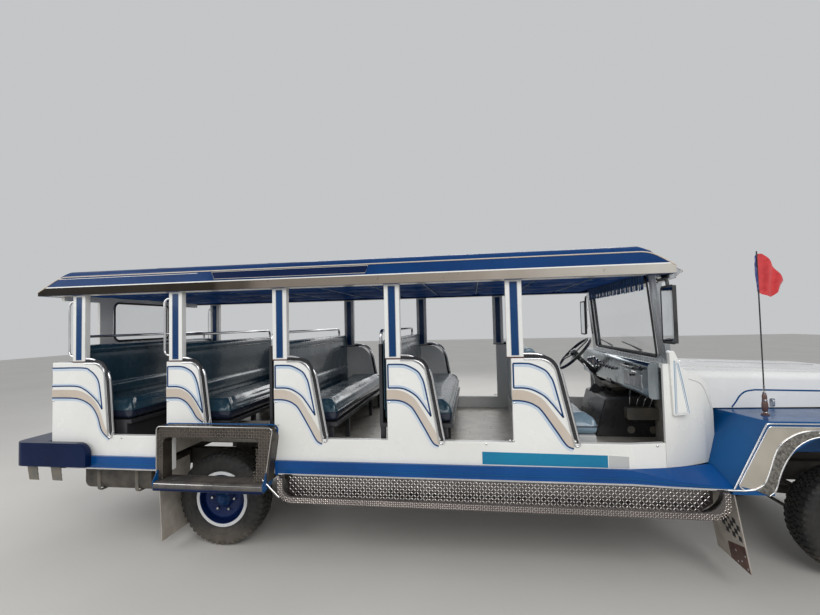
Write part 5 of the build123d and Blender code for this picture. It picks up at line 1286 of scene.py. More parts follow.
def pennant():
    """A small two-coloured cloth pennant clipped to the mast."""
    blue, red, clip = shapes(3)
    mast_x, mast_y, half_thick = 2.160, -0.830, 0.0006
    red_lines = ([(2.163, 2.190), (2.205, 2.186), (2.262, 2.100), (2.320, 2.003)],
                 [(2.163, 1.925), (2.195, 1.910), (2.240, 1.896), (2.290, 1.945)])
    blue_lines = ([(2.158, 2.190), (2.135, 2.150), (2.118, 2.060)],
                  [(2.158, 1.925), (2.140, 1.960), (2.120, 2.000)])
    for shape, lines, fold in ((red, red_lines, 0.0), (blue, blue_lines, 1.0)):
        upper, lower = [resample(smooth(line), 16) for line in lines]
        rings = []
        for n, (a, b) in enumerate(zip(upper, lower)):
            y = mast_y + (0.010 * sin(n * 0.9) - 0.004 * n * fold) * min(1, n / 3)
            near, far, middle = y - half_thick, y + half_thick, (a + b) / 2
            rings.append([lay("y", p, level) for p, level in (
                (a, near), (a, far), (middle, far + 0.006), (b, far), (b, near), (middle, near + 0.006))])
        shape.loft(rings)
    clip.tube([(mast_x, mast_y, 2.176), (mast_x, mast_y, 2.202)], [0.006, 0.004], 10)
    clip.tube([(mast_x, mast_y, 1.925), (mast_x, mast_y, 1.945)], [0.005, 0.005], 10)
    held = clip.build("pennant_clips", "mirror_black", angle=50)
    red.build("pennant_red", "pennant_red", angle=60)
    blue.build("pennant_blue", "pennant_blue", angle=60)


fender_trim()
hood_trim()
wing_plates()
windshield_parts()
lamp_faces()
grille_parts()
blank_plates()
flap_patches()
pennant()


# Wheels: treaded tyres, hub caps, nuts, dark ovals of painted shade for the hand holes, and valves

# Half of the carcass's section: across from the tyre's middle, radius
CARCASS = [(0.0000, 0.3615), (0.0300, 0.3615), (0.0330, 0.3560), (0.0390, 0.3560), (0.0420, 0.3615),
           (0.0680, 0.3600), (0.0855, 0.3520), (0.0960, 0.3380), (0.1030, 0.3200), (0.1045, 0.3150),
           (0.1030, 0.3140), (0.1068, 0.2960), (0.1050, 0.2760), (0.1020, 0.2600), (0.1030, 0.2570),
           (0.0985, 0.2500), (0.0900, 0.2380), (0.0800, 0.2290), (0.0735, 0.2255), (0.0730, 0.2060)]
# Each row of tread blocks: its middle, half width, count, shift round the wheel and slant
TREAD_ROWS = [(0.0, 0.0105, 64, 0.0, 0.25), (0.0255, 0.0105, 64, 0.5, -0.25),
              (-0.0255, 0.0105, 64, 0.5, -0.25), (0.0600, 0.0190, 48, 0.25, 0.15),
              (-0.0600, 0.0190, 48, 0.75, 0.15)]


def round_axle(radius, y, angle):
    """A place on a wheel about the origin."""
    return radius * cos(angle), y, radius * sin(angle)


def tyre_shape():
    """A tyre turned about the origin: carcass with grooves and rim ribs, tread blocks and shoulder blocks."""
    shape = Shape().lathe(CARCASS + [(-y, r) for y, r in CARCASS[:0:-1]], (0, 0, 0), "y", 96)
    for middle, wide, count, shift, slant in TREAD_ROWS:
        span = 2 * pi / count * 0.70
        corner_turns = ((-wide, 0.0), (wide, slant), (wide, 1 + slant), (-wide, 1.0))
        for n in range(count):
            start = 2 * pi * (n + shift) / count
            rings = []
            for r, draw in ((0.3590, 0.0010), (0.3697, 0.0)):
                ring = []
                for y, turn in corner_turns:
                    drop = 0.0085 * max(0.0, abs(middle + y) - 0.062) / 0.017
                    across = middle + y + (draw if y > 0 else -draw)
                    ring.append(round_axle(r - drop, across, start + span * turn))
                rings.append(ring)
            shape.loft(rings)
    shoulders = 48
    for n in range(shoulders):
        angle = 2 * pi * n / shoulders
        for edge in (-1, 1):
            shape.loft([[round_axle(r + up, edge * (y + up * 0.8), angle + t)
                         for up, t in ((-0.004, 0.0), (-0.004, 0.075), (proud, 0.070), (proud, 0.005))]
                        for y, r, proud in ((0.0830, 0.3545, 0.0060), (0.0985, 0.3310, 0.0015))])
    return shape


def wheel_paint(name, axle):
    """White rim paint with a deep-blue dished centre, dusty at the foot."""
    made = Material(name, (0.70, 0.70, 0.69), 0.3, Coat_Weight=0.1, Specular_IOR_Level=0.2)
    place = made.place
    for operation, other in (("SUBTRACT", axle), ("MULTIPLY", (1, 0, 1)), ("LENGTH", None)):
        step = made.add("ShaderNodeVectorMath", operation=operation)
        made.join(place, step.inputs[0])
        if other:
            step.inputs[1].default_value = other
        place = step.outputs[0]
    colour = made.ramp(step.outputs["Value"], [(0.0, (0.004, 0.014, 0.07)), (0.1955, (0.004, 0.017, 0.085)),
                                               (0.1965, (0.66, 0.67, 0.68)), (1.0, (0.72, 0.72, 0.70))])
    made.join(colour, made.shader.inputs["Base Color"])
    made.rub(25.0, 0.2, 0.45).bump(made.noise(60.0), 0.0008, 0.25).dust(0.20, 0.3, 0.3)
    return made.data


def wheel_parts(side):
    """A wheel's hub cap, nuts, dark ovals of painted shade where its hand holes are, and valve, made about
    the origin.
    """
    cap, nuts, holes, valve = shapes(4)
    face, nut_count, hole_count, hole_reach, facets = side * 0.065, 6, 8, 0.128, 14

    def turned_out(start, profile):
        """A profile that runs out from a face of the wheel."""
        return [(start + side * out, radius) for out, radius in profile]

    dome = [(-0.004, 0.060), (0.003, 0.056), (0.010, 0.046), (0.024, 0.040), (0.034, 0.030), (0.039, 0.014),
            (0.040, 0.001)]
    cap.lathe(turned_out(face, dome), (0, 0, 0), "y", 36)
    hexagon = [(0, 0.0125), (0.014, 0.0125), (0.018, 0.0095), (0.018, 0.006), (0.025, 0.006), (0.027, 0.001)]
    nut = Shape().lathe(turned_out(0, hexagon), (0.098, side * 0.046, 0), "y", 6)
    for n in range(nut_count):
        nuts.put(nut, Matrix.Rotation(2 * pi * n / nut_count, 4, "Y"))
    # Each hand hole is a dark oval of painted shade on the disc
    hole = Shape().loft([[(hole_reach + 0.016 * cos(a), level + side * 0.016 * cos(a) * 0.28, 0.013 * sin(a))
                          for a in [2 * pi * k / facets for k in range(facets)]]
                         for level in (side * 0.0495, side * 0.0540)])
    for n in range(hole_count):
        holes.put(hole, Matrix.Rotation(2 * pi * (n + 0.5) / hole_count, 4, "Y"))
    valve.tube([(0.186, side * 0.040, 0), (0.182, side * 0.060, 0), (0.180, side * 0.072, 0)],
               [0.005, 0.004, 0.0045], 8)
    return ((cap, "hub_cap", "line_blue"), (nuts, "wheel_nuts", "steel"), (holes, "hand_holes", "flap_dark"),
            (valve, "valve", "flap_dark"))


def wheels():
    """On each wheel a treaded tyre in place of the plain one, two-coloured paint and the small parts."""
    for axle in ("rear", "front"):
        for hand, side in (("right", -1), ("left", 1)):
            node, body = f"tyre_{axle}_{hand}", f"wheel_{axle}_{hand}"
            low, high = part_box(node)
            centre = (Vector(low) + Vector(high)) / 2
            place = Matrix.Translation(centre)
            Shape().put(tyre_shape(), place).build(f"treaded_{node}", "tyre", body, 30, replaces=(node,))
            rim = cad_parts[f"rim_{axle}_{hand}"]
            rim.data.materials[0] = wheel_paint(f"wheel_paint_{axle}_{hand}", centre)
            for shape, name, look in wheel_parts(side):
                Shape().put(shape, place).build(f"{name}_{axle}_{hand}", look, body, 40)


wheels()


# Soft goods: swollen vinyl cushions with piping, each simulated once and repeated

def rounded_block(low, high, radius, name):
    """A box with rounded edges, as the slack form that a cushion is blown up from."""
    work = bmesh.new()
    bmesh.ops.create_cube(work, size=1.0)
    for vert in work.verts:
        vert.co = Vector([(low[k] + high[k]) / 2 + vert.co[k] * (high[k] - low[k]) for k in range(3)])
    bmesh.ops.bevel(work, geom=work.edges[:], offset=radius, segments=4, profile=0.5, affect="EDGES")
    mesh = bpy.data.meshes.new(name)
    work.to_mesh(mesh)
    work.free()
    made = bpy.data.objects.new(name, mesh)
    scene.collection.objects.link(made)
    return made


def settle(piece):
    """A piece's mesh with its modifiers made real."""
    shown = piece.evaluated_get(bpy.context.evaluated_depsgraph_get())
    mesh = bpy.data.meshes.new_from_object(shown)
    piece.modifiers.clear()
    old = piece.data
    piece.data = mesh
    bpy.data.meshes.remove(old)
    return mesh


VOXEL = 0.011  # the cushions' grid
PRESSURE = 4.0  # the air in them, in the solver's units
SWELL = 0.022  # the farthest that a point may move
BLOW_FRAMES = 20


def blown(low, high, radius, pinned, limit, name):
    """A cushion swollen by a cloth simulation, its seams pinned and its points kept within limits."""
    piece = rounded_block(low, high, radius, name)
    remesh = piece.modifiers.new("remesh", "REMESH")
    remesh.mode = "VOXEL"
    remesh.voxel_size = VOXEL
    mesh = settle(piece)
    start = [v.co.copy() for v in mesh.vertices]
    group = piece.vertex_groups.new(name="pins")
    group.add([n for n, p in enumerate(start) if pinned(p)], 1.0, "REPLACE")
    cover = piece.modifiers.new("cloth", "CLOTH")
    cover.settings.quality = 4
    cover.settings.mass = 0.4
    cover.settings.tension_stiffness = 8
    cover.settings.compression_stiffness = 8
    cover.settings.bending_stiffness = 1.5
    cover.settings.use_pressure = True
    cover.settings.uniform_pressure_force = PRESSURE
    cover.settings.vertex_group_mass = "pins"
    cover.settings.effector_weights.gravity = 0
    cover.collision_settings.use_collision = False
    cover.point_cache.frame_end = BLOW_FRAMES
    for step in range(1, BLOW_FRAMES + 1):
        scene.frame_set(step)
    mesh = settle(piece)
    scene.frame_set(1)
    for vert, slack in zip(mesh.vertices, start):
        move = vert.co - slack
        if move.length > SWELL:
            move *= SWELL / move.length
        vert.co = limit(slack + move)
    work = bmesh.new()
    work.from_mesh(mesh)
    for _ in range(2):
        bmesh.ops.smooth_vert(work, verts=work.verts, factor=0.5, use_axis_x=True, use_axis_y=True,
                              use_axis_z=True)
    work.to_mesh(mesh)
    work.free()
    mesh.shade_smooth()
    return piece


def within(low, high):
    """Keeps a point inside a box."""
    def limit(p):
        return Vector([min(max(p[k], low[k]), high[k]) for k in range(3)])
    return limit


def upholstered(piece, places, name, looks, split_z, replaces=()):
    """Copies of one cushion in two vinyls, the second below a height. A place is a width's share, x and y."""
    shape, mesh = Shape(), piece.data
    verts, faces = [v.co.copy() for v in mesh.vertices], [tuple(p.vertices) for p in mesh.polygons]
    for share, x, y in places:
        shape.add([Vector((v.x, v.y * share, v.z)) + Vector((x, y, 0)) for v in verts], faces)
    bpy.data.objects.remove(piece)
    made = shape.build(name, looks[0], angle=180, replaces=replaces)
    made.data.materials.append(LOOKS[looks[1]][0])
    for face in made.data.polygons:
        face.material_index = int(face.center.z < split_z)


LOW_ROLL, HIGH_ROLL, SEAM_HALF = 1.300, 1.585, 0.007  # the backs' sewn lines, and half of a pinned seam


def seat_pins(base, seam):
    """A seat is pinned at its foot and along its seam."""
    return lambda p: p.z < base + 0.012 or abs(p.z - seam) < SEAM_HALF


def back_pins(rear, front, rolls):
    """A back is pinned at its rear and along the sewn lines of its front."""
    return lambda p: p.x < rear or (p.x > front and min(abs(p.z - z) for z in rolls) < SEAM_HALF)


def back_limit(rear, front, bulge, top, half, base, head):
    """Keeps a back inside its place, with room to swell forward above the seat."""
    def limit(p):
        return Vector((min(max(p.x, rear), bulge if p.z > top + 0.02 else front),
                       min(max(p.y, -half), half), min(max(p.z, base + 0.0005), head + 0.006)))
    return limit


def benches():
    """Four benches' seats and backs, with their piping."""
    low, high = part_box("bench_cushions")
    half, deep = high.y, high.x - (PILLARS[3] + 0.001)
    base, top, head = low.z, high.z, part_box("bench_backs")[1].z
    seam = base + 0.078
    seat = blown((0.012, -half + 0.012, base + 0.002), (deep - 0.010, half - 0.012, top - 0.012), 0.034,
                 seat_pins(base, seam),
                 within((0.002, -half, base + 0.0005), (deep + 0.006, half, top + 0.012)), "bench_seat")
    back = blown((-0.088, -half + 0.010, base + 0.006), (-0.014, half - 0.010, head - 0.012), 0.030,
                 back_pins(-0.080, -0.030, (LOW_ROLL, HIGH_ROLL)),
                 back_limit(-0.0945, -0.001, 0.026, top, half, base, head), "bench_back")
    places = [(1, x, 0) for x in PILLARS[:4]]
    upholstered(seat, places, "bench_seats", ("vinyl", "seat_navy"), seam, ("bench_cushions",))
    upholstered(back, places, "bench_backrests", ("vinyl", "seat_navy"), 0.0, ("bench_backs",))
    piping, side = Shape(), half - 0.012
    for x in PILLARS[:4]:
        around = corners((x + 0.008, -half + 0.010), (x + deep - 0.008, half - 0.010))
        piping.tube(rounded(laid("z", around, seam), 0.03, 4, True), 0.0045, 8, True)
        for z in (LOW_ROLL, HIGH_ROLL):
            piping.tube([(x - 0.012, -half + 0.022, z), (x - 0.012, half - 0.022, z)], 0.0045, 8)
        outline = [(-side, base + 0.10), (-side, head - 0.016), (side, head - 0.016), (side, base + 0.10)]
        piping.tube(rounded(laid("x", outline, x - 0.083), 0.03, 4), 0.005, 8)
    piping.build("bench_piping", "vinyl", angle=60)


def front_seats():
    """The driver's seat and the wider one beside it, from one cushion and one back at two widths."""
    low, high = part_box("front_seats")
    seat_x, base, head = PILLARS[4] + 0.161, low.z, high.z
    deep, back_x, top, half = high.x - seat_x, low.x, base + 0.135, 0.395
    seam, thick = base + 0.060, seat_x - 0.001 - back_x
    seat = blown((0.012, -half + 0.010, base + 0.002), (deep - 0.010, half - 0.010, top - 0.012), 0.036,
                 seat_pins(base, seam),
                 within((0.002, -half, base + 0.0005), (deep + 0.004, half, top + 0.014)), "front_seat")
    back = blown((0.008, -half + 0.010, base + 0.002), (thick - 0.014, half - 0.010, head - 0.012), 0.032,
                 back_pins(0.012, thick - 0.030, (LOW_ROLL,)),
                 back_limit(0.001, thick - 0.001, thick + 0.022, top, half, base, head), "front_back")
    spots = [(1.0, -0.455), (0.560 / 0.790, 0.480)]
    upholstered(seat, [(share, seat_x, y) for share, y in spots], "driver_seats",
                ("seat_vinyl", "seat_vinyl"), seam, ("front_seats",))
    upholstered(back, [(share, back_x, y) for share, y in spots], "driver_backrests",
                ("seat_vinyl", "seat_navy"), 0.0)
    piping, face = Shape(), back_x + thick - 0.011
    for share, y in spots:
        wide = share * half
        around = corners((seat_x + 0.008, y - wide + 0.008), (seat_x + deep - 0.008, y + wide - 0.008))
        piping.tube(rounded(laid("z", around, seam), 0.03, 4, True), 0.0045, 8, True)
        piping.tube([(face, y - wide + 0.02, LOW_ROLL), (face, y + wide - 0.02, LOW_ROLL)], 0.0045, 8)
    piping.build("driver_seat_piping", "seat_navy", angle=60)


benches()
front_seats()


# Cab fittings, rear trim, running gear and small parts

def facing(place, face):
    """A frame at a place on a surface, its z axis pointing out and its y axis up."""
    return Matrix.Translation(place) @ Vector(face).to_track_quat("Z", "Y").to_matrix().to_4x4()


def dash_spot(y, z):
    """A frame on the dashboard's face."""
    return facing(*skin_point("dashboard", (0.5, y, z), (1, 0, 0)))


def dash_parts():
    """Dials with needles, switches, a glove-box lid and a black grab handle."""
    bezels, faces, marks, needles, knobs, lid, handle = shapes(7)
    for y, r in ((0.450, 0.050), (0.340, 0.033), (0.560, 0.033), (0.262, 0.024), (0.638, 0.024)):
        spot = dash_spot(y, 1.350)
        bezels.turned([(-0.002, r + 0.004), (0.006, r + 0.004), (0.009, r + 0.001), (0.006, r - 0.003),
                       (0.0, r - 0.003)], 36, spot, True)
        faces.turned([(0.0008, r - 0.002), (0.0016, r * 0.5), (0.0016, 0.001)], 36, spot)
        for n in range(11):
            turn = spot @ Matrix.Rotation(radians(-135 + 27 * n), 4, "Z")
            marks.slab(corners((-0.0007, r * 0.70), (0.0007, r * 0.86)), 0.0014, 0.0022, turn)
        reading = spot @ Matrix.Rotation(radians(70 if r > 0.04 else 25), 4, "Z")
        needles.slab([(-0.0016, -r * 0.15), (0.0016, -r * 0.15), (0.0004, r * 0.72), (-0.0004, r * 0.72)],
                     0.0024, 0.0034, reading)
        needles.turned([(0.0014, 0.004), (0.0040, 0.004), (0.0046, 0.001)], 16, spot)
    for y in (-0.16, -0.08, 0.0, 0.08, 0.16):
        spot = dash_spot(y, 1.345)
        bezels.turned([(-0.001, 0.014), (0.003, 0.014), (0.005, 0.010), (-0.001, 0.010)], 24, spot, True)
        knobs.turned([(0, 0.007), (0.014, 0.006), (0.017, 0.010), (0.026, 0.010), (0.029, 0.005),
                      (0.029, 0.001)], 20, spot)
    spot = dash_spot(-0.570, 1.310)
    lid.slab(frame_of(0.340, 0.110, 0.015), -0.001, 0.004, spot)
    bezels.put(Shape().tube(frame_of(0.346, 0.116, 0.017, 0.001), 0.0028, 8, True), spot)
    knobs.turned([(0.004, 0.008), (0.012, 0.007), (0.016, 0.011), (0.022, 0.009), (0.023, 0.001)], 20,
                 spot @ Matrix.Translation((0, 0.032, 0)))
    spot, reach = dash_spot(-0.570, 1.405), 0.15
    grip = rounded([(-reach, 0, -0.003), (-reach, 0, 0.042), (reach, 0, 0.042), (reach, 0, -0.003)], 0.022, 5)
    handle.put(Shape().tube(grip, 0.0095, 12), spot)
    for x in (-reach, reach):
        handle.turned([(-0.001, 0.019), (0.004, 0.019), (0.007, 0.013), (0.010, 0.0095)], 24,
                      spot @ Matrix.Translation((x, 0, 0)))
    bezels.build("dial_bezels", "chrome", angle=40)
    faces.build("dial_faces", "black_paint")
    marks.build("dial_marks", "hood_white")
    needles.build("dial_needles", "pennant_red", angle=30)
    knobs.build("dash_knobs", "plastic", angle=40)
    lid.build("glove_lid", "screen_steel", bevel=0.001)
    handle.build("dash_handle", "black_paint", angle=50)


def steering_parts():
    """A horn button in its ring and four wrapped grips on the steering wheel."""
    centre, way = Vector((PILLARS[4] + 0.740, 0.450, 1.410)), Vector((1, 0, -1)).normalized()
    aside, rim_radius, steps = Vector((0, 0.030, 0)), 0.205, 14
    hub = facing(skin_point("steering_wheel", centre - 0.3 * way + aside, way)[0] - aside, -way)
    cap, button, wraps = shapes(3)
    cap.turned([(-0.004, 0.036), (0.004, 0.036), (0.008, 0.032), (0.008, 0.026), (0.002, 0.025)], 36, hub,
               True)
    button.turned([(0.001, 0.0245), (0.008, 0.024), (0.013, 0.016), (0.015, 0.001)], 36, hub)
    for start in (20, 110, 200, 290):
        angles = [radians(start + 50 * n / steps) for n in range(steps + 1)]
        sizes = [0.0143] + [0.0155] * (steps - 1) + [0.0143]
        grip = Shape().tube([(rim_radius * cos(a), rim_radius * sin(a), 0) for a in angles], sizes, 14)
        wraps.put(grip, facing(centre - 0.030 * way, -way))
    cap.build("horn_ring", "chrome", "steering_wheel", angle=40)
    button.build("horn_button", "black_paint", "steering_wheel", angle=40)
    wraps.build("wheel_wraps", "seat_navy", "steering_wheel", angle=50)


def ribbed_pad(pads, spot, outline, thick, half, first, pitch, tall, ribs):
    """A rubber pedal pad with level ribs."""
    pads.slab(outline, -thick, 0.004, spot)
    for n in range(ribs):
        y = first + n * pitch
        pads.slab(corners((-half, y), (half, y + tall)), 0.003, 0.0065, spot)


def pedals_and_lever():
    """Two hung pedals, the long accelerator, and the gear lever with its boot and knob."""
    pads, arms, boot, lever, knob = shapes(5)
    for y in (0.525, 0.640):
        arms.tube(rounded([(1.681, y, 1.215), (1.640, y, 1.190), (1.612, y, 1.045)], 0.03, 4), 0.0075, 10)
        ribbed_pad(pads, facing((1.610, y, 1.040), (-0.94, 0, 0.34)), frame_of(0.072, 0.062, 0.010), 0.008,
                   0.030, -0.026, 0.0115, 0.006, 5)
    ribbed_pad(pads, facing((1.620, 0.362, 0.885), (-0.86, 0, 0.52)), frame_of(0.055, 0.170, 0.012), 0.004,
               0.022, -0.070, 0.0165, 0.007, 9)
    arms.tube([(1.665, 0.362, 0.915), (1.681, 0.362, 0.930)], 0.008, 10)
    base = skin_point("engine_cover", (1.330, 0.100, 2.0), DOWN)[0]
    boot.lathe([(-0.002, 0.052), (0.004, 0.052), (0.010, 0.044), (0.018, 0.046), (0.024, 0.037),
                (0.032, 0.039), (0.038, 0.029), (0.046, 0.031), (0.052, 0.021), (0.064, 0.010)],
               base, "z", 32, False)
    top = Vector((1.235, 0.130, 1.375))
    rod = smooth([base + Vector((0, 0, 0.055)), base + Vector((-0.012, 0.004, 0.130)), top], 8)
    lever.tube(rod, 0.006, 10)
    knob.lathe([(-0.022, 0.007), (-0.020, 0.014), (-0.008, 0.022), (0.006, 0.022), (0.018, 0.014),
                (0.023, 0.001)], top + Vector((0, 0, 0.012)), "z", 24, False)
    pads.build("pedal_pads", "flap_dark", angle=40)
    arms.build("pedal_arms", "black_paint", angle=50)
    boot.build("lever_boot", "flap_dark", angle=40)
    lever.build("gear_lever", "chrome", angle=50)
    knob.build("lever_knob", "plastic", angle=50)


def rear_trim():
    """Window seals, lamp frames and amber tops, beads and screws on the tailboard."""
    seal, bead, frames, amber, beads, heads = shapes(6)
    (low, high), wall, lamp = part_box("rear_window"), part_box("rear_wall"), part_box("rear_lamps")
    for x in (wall[0].x - 0.001, wall[1].x + 0.001):
        for shape, gap, size in ((seal, 0.0, 0.0095), (bead, 0.013, 0.0038)):
            ring = laid("x", corners((low.y - gap, low.z - gap), (high.y + gap, high.z + gap)), x)
            shape.tube(rounded(ring, 0.060 + gap, 6, True), size, 8, True)
    back, middle, tall, lamp_y = lamp[0].x, (lamp[0].z + lamp[1].z) / 2, lamp[1].z - lamp[0].z, 0.810
    for y in (-lamp_y, lamp_y):
        frames.put(Shape().tube(frame_of(0.098, tall + 0.008, 0.012), 0.0065, 10, True),
                   facing((wall[0].x - 0.006, y, middle), (-1, 0, 0)))
        spot = facing((back, y, middle), (-1, 0, 0))
        for z in (-0.028, 0.028):
            frames.put(Shape().tube([(-0.043, z, 0.0), (0.043, z, 0.0)], 0.0032, 8), spot)
        amber.slab([(p.x, p.y + 0.0555) for p in frame_of(0.074, 0.040, 0.006)], -0.001, 0.003, spot)
    x, screw = wall[0].x, [(0, 0.0075), (-0.002, 0.0065), (-0.0035, 0.002)]
    beads.tube([(x, -0.880, 0.900), (x, 0.880, 0.900)], 0.0055, 8)
    for y in (-0.620, 0.620):
        beads.tube([(x, y, 0.905), (x, y, 1.470)], 0.0045, 8)
    for y in (-0.860, -0.645, -0.43, -0.215, 0.0, 0.215, 0.43, 0.645, 0.860):
        for z in (0.875, 1.455):
            heads.lathe(screw, (x, y, z), "x", 12, False)
    seal.build("rear_window_seal", "flap_dark", angle=60)
    bead.build("rear_window_bead", "chrome", angle=60)
    frames.build("rear_lamp_frames", "chrome", angle=60)
    amber.build("rear_lamp_ambers", "amber", bevel=0.0008)
    beads.build("tail_beads", "line_blue", angle=60)
    heads.build("tail_screws", "steel", angle=40)


def mirror_parts():
    """The mirrors' glass, rims, pale backs with ribs, and their clamps."""
    glass, rim, back, clamp = shapes(4)
    low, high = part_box("mirrors")
    inner, outer, foot, head, face = 0.965, high.y, low.z, 1.975, low.x
    outline = corners((-outer, foot), (-inner, head))
    glass.prism(rounded(inset(outline, 0.009), 0.012, 4, True), "x", face - 0.0012, face + 0.001)
    rim.tube(laid("x", rounded(outline, 0.018, 5, True), face + 0.001), 0.0058, 8, True)
    back.prism(rounded(inset(outline, 0.006), 0.014, 4, True), "x", face + 0.0195, face + 0.0235)
    for z in (foot + 0.09, (foot + head) / 2, head - 0.09):
        back.prism(corners((-outer + 0.020, z - 0.006), (-inner - 0.020, z + 0.006)), "x", face + 0.0225,
                   face + 0.0265)
    arm_x, arm_y = 1.511, -1.005
    for z in (1.70, 1.88):
        clamp.tube([(arm_x, arm_y, z - 0.016), (arm_x, arm_y, z + 0.016)], 0.0155, 14)
        clamp.lathe([(0, 0.008), (0.006, 0.008), (0.008, 0.004), (0.008, 0.001)], (arm_x + 0.0135, arm_y, z),
                    "x", 6, False)
    clamp.tube([(arm_x, -0.880, 2.030), (arm_x, -0.893, 2.030)], 0.019, 16)
    glass.build_both("mirror_glasses", "mirror_glass")
    rim.build_both("mirror_rims", "flap_dark", angle=60)
    back.build_both("mirror_backs", "box_grey", bevel=0.001)
    clamp.build_both("mirror_clamps", "steel", angle=40)


def running_gear():
    """Leaf edges, clips, U-bolts and their plates, and the fuel tank's straps."""
    leaves, clips, plates, straps = shapes(4)
    low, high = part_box("leaf_springs")
    rear_x = (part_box("tyre_rear_right")[0].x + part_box("tyre_rear_right")[1].x) / 2
    eye, leg_out, leg_in = high.z, -0.380, -0.286
    for axle, seat, reach, under in ((rear_x, 0.4153, 0.055, 0.316), (AXLE_X, low.z, 0.046, 0.322)):
        def level(t, share):
            bottom = seat + (eye - 0.021 - seat) * t * t
            top = seat + 0.042 + (eye - seat - 0.042) * t * t
            return bottom + (top - bottom) * share

        for share in (0.2, 0.4, 0.6, 0.8):
            span = 0.55 + 0.45 * share
            for y in (-0.3655, -0.2995):
                leaves.tube([(axle + 0.50 * span * k / 10, y, level(0.96 * span * k / 10, share))
                             for k in range(-10, 11)], 0.0020, 6)
        for t in (-0.55, 0.55):
            clip = [(-0.370, level(t, 0) - 0.003), (-0.295, level(t, 0) - 0.003),
                    (-0.295, level(t, 1) + 0.003), (-0.370, level(t, 1) + 0.003)]
            clips.tube(laid("x", clip, axle + 0.52 * t), 0.0045, 6, True)
        top = seat + 0.043
        for x in (axle - reach, axle + reach):
            bolt = [(leg_out, top + 0.026), (leg_out, under), (leg_in, under), (leg_in, top + 0.026)]
            clips.tube(rounded(laid("x", bolt, x), 0.015, 4), 0.0062, 8)
            for y in (leg_out, leg_in):
                clips.lathe([(0.012, 0.0115), (0.022, 0.0115), (0.023, 0.007)], (x, y, top), "z", 6, False)
        plates.box((axle - reach - 0.018, -0.396, top), (axle + reach + 0.018, -0.270, top + 0.012), 0.003)
    leaves.build_both("leaf_edges", "engine", angle=60)
    clips.build_both("spring_clips", "engine", angle=50)
    plates.build_both("spring_plates", "frame_black", bevel=0.0015)
    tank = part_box("fuel_tank")
    around = corners((tank[0].y - 0.002, tank[0].z - 0.002), (tank[1].y + 0.002, tank[1].z - 0.004))
    for x in (tank[0].x + 0.13, tank[1].x - 0.13):
        path = rounded(laid("x", around, x), 0.03, 4, True)
        for shift in (-0.010, 0.0, 0.010):
            straps.tube([p + Vector((shift, 0, 0)) for p in path], 0.0048, 6, True)
    straps.build("tank_straps", "engine", angle=60)


def small_parts():
    """Mast rings, coil and sleeve, step rolls and struts, flaps under the rear bumper, bolts and seams."""
    rings, sleeve, rolls, struts, flaps, bolts, seams, line = shapes(8)
    low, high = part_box("fender_mast")
    x, y, collar = (low.x + high.x) / 2, (low.y + high.y) / 2, low.z + 0.152
    for z, r in ((0.018, 0.0125), (0.100, 0.0150), (0.148, 0.0095)):
        rings.lathe([(-0.004, r), (0, r + 0.0025), (0.004, r), (0, r - 0.003)], (x, y, low.z + z), "z", 24)
    rings.tube([(x + 0.0062 * cos(n * 0.7), y + 0.0062 * sin(n * 0.7), collar + 0.0009 * n)
                for n in range(60)], 0.0016, 6)
    sleeve.tube([(x, y, collar), (x, y, high.z - 0.001)], 0.0042, 10)
    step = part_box("arch_steps")
    rolls.tube([(x, -step[1].y + 0.009, step[0].z + 0.012) for x in (step[0].x + 0.002, step[1].x - 0.002)],
               0.0125, 14)
    arch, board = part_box("wheel_arches")[1].x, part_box("running_boards")[0].x
    struts.tube([(arch - 0.085, -1.046, 0.640), (arch - 0.045, -1.048, 0.604),
                 (board + 0.012, -1.050, 0.520)], [0.007, 0.008, 0.007], 10)
    bumper, wide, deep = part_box("rear_bumper"), 0.092, 0.040
    for start in (bumper[0].x + 0.110, bumper[0].x + 0.330):
        for k in range(3):
            z, out, back = bumper[0].z - deep * k, 0.006 * k, 0.004 * k
            ring = [(start, -1.004 + out), (start + wide, -1.004 + back), (start + wide, -0.998 + back),
                    (start, -0.998 + out)]
            flaps.loft([laid("z", ring, z + 0.002), [(a + 0.006, b + 0.003, z - deep) for a, b in ring]])
    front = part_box("front_bumper")
    for y in (-0.86, -0.42, 0.42, 0.86):
        bolts.lathe([(-0.001, 0.017), (0.004, 0.016), (0.008, 0.009), (0.009, 0.001)],
                    (front[1].x, y, (front[0].z + front[1].z) / 2), "x", 24, False)
    for n in range(1, 5):
        middle = roof_low.x + (BROW.x - roof_low.x) * n / 5
        for x in (middle - 0.011, middle + 0.011):
            skin_stripe(seams, "roof_shell", [(x, y, 3) for y in (-0.84, 0, 0.84)], 0.006, 0.0020, DOWN, 10)
    seam = [(1.690, 1.345), (1.795, 1.300), (1.850, 1.205), (1.880, 1.118)]
    skin_stripe(line, "cowl", laid("y", seam, -1.5), 0.006, 0.0012)
    rings.build("mast_rings", "steel", angle=50)
    sleeve.build("mast_sleeve", "mirror_black", angle=50)
    rolls.build_both("step_rolls", "navy", angle=50)
    struts.build_both("step_struts", "steel", angle=50)
    flaps.build_both("bumper_flaps", "engine", angle=50)
    bolts.build("bumper_bolts", "chrome", angle=50)
    seams.build("roof_seams", "roof_blue", angle=50)
    line.build_both("cowl_lines", "box_grey")


dash_parts()
steering_parts()
pedals_and_lever()
rear_trim()
mirror_parts()
running_gear()
small_parts()


# Engine bay: covers, manifolds, pump and lines, fan and belt, hoses

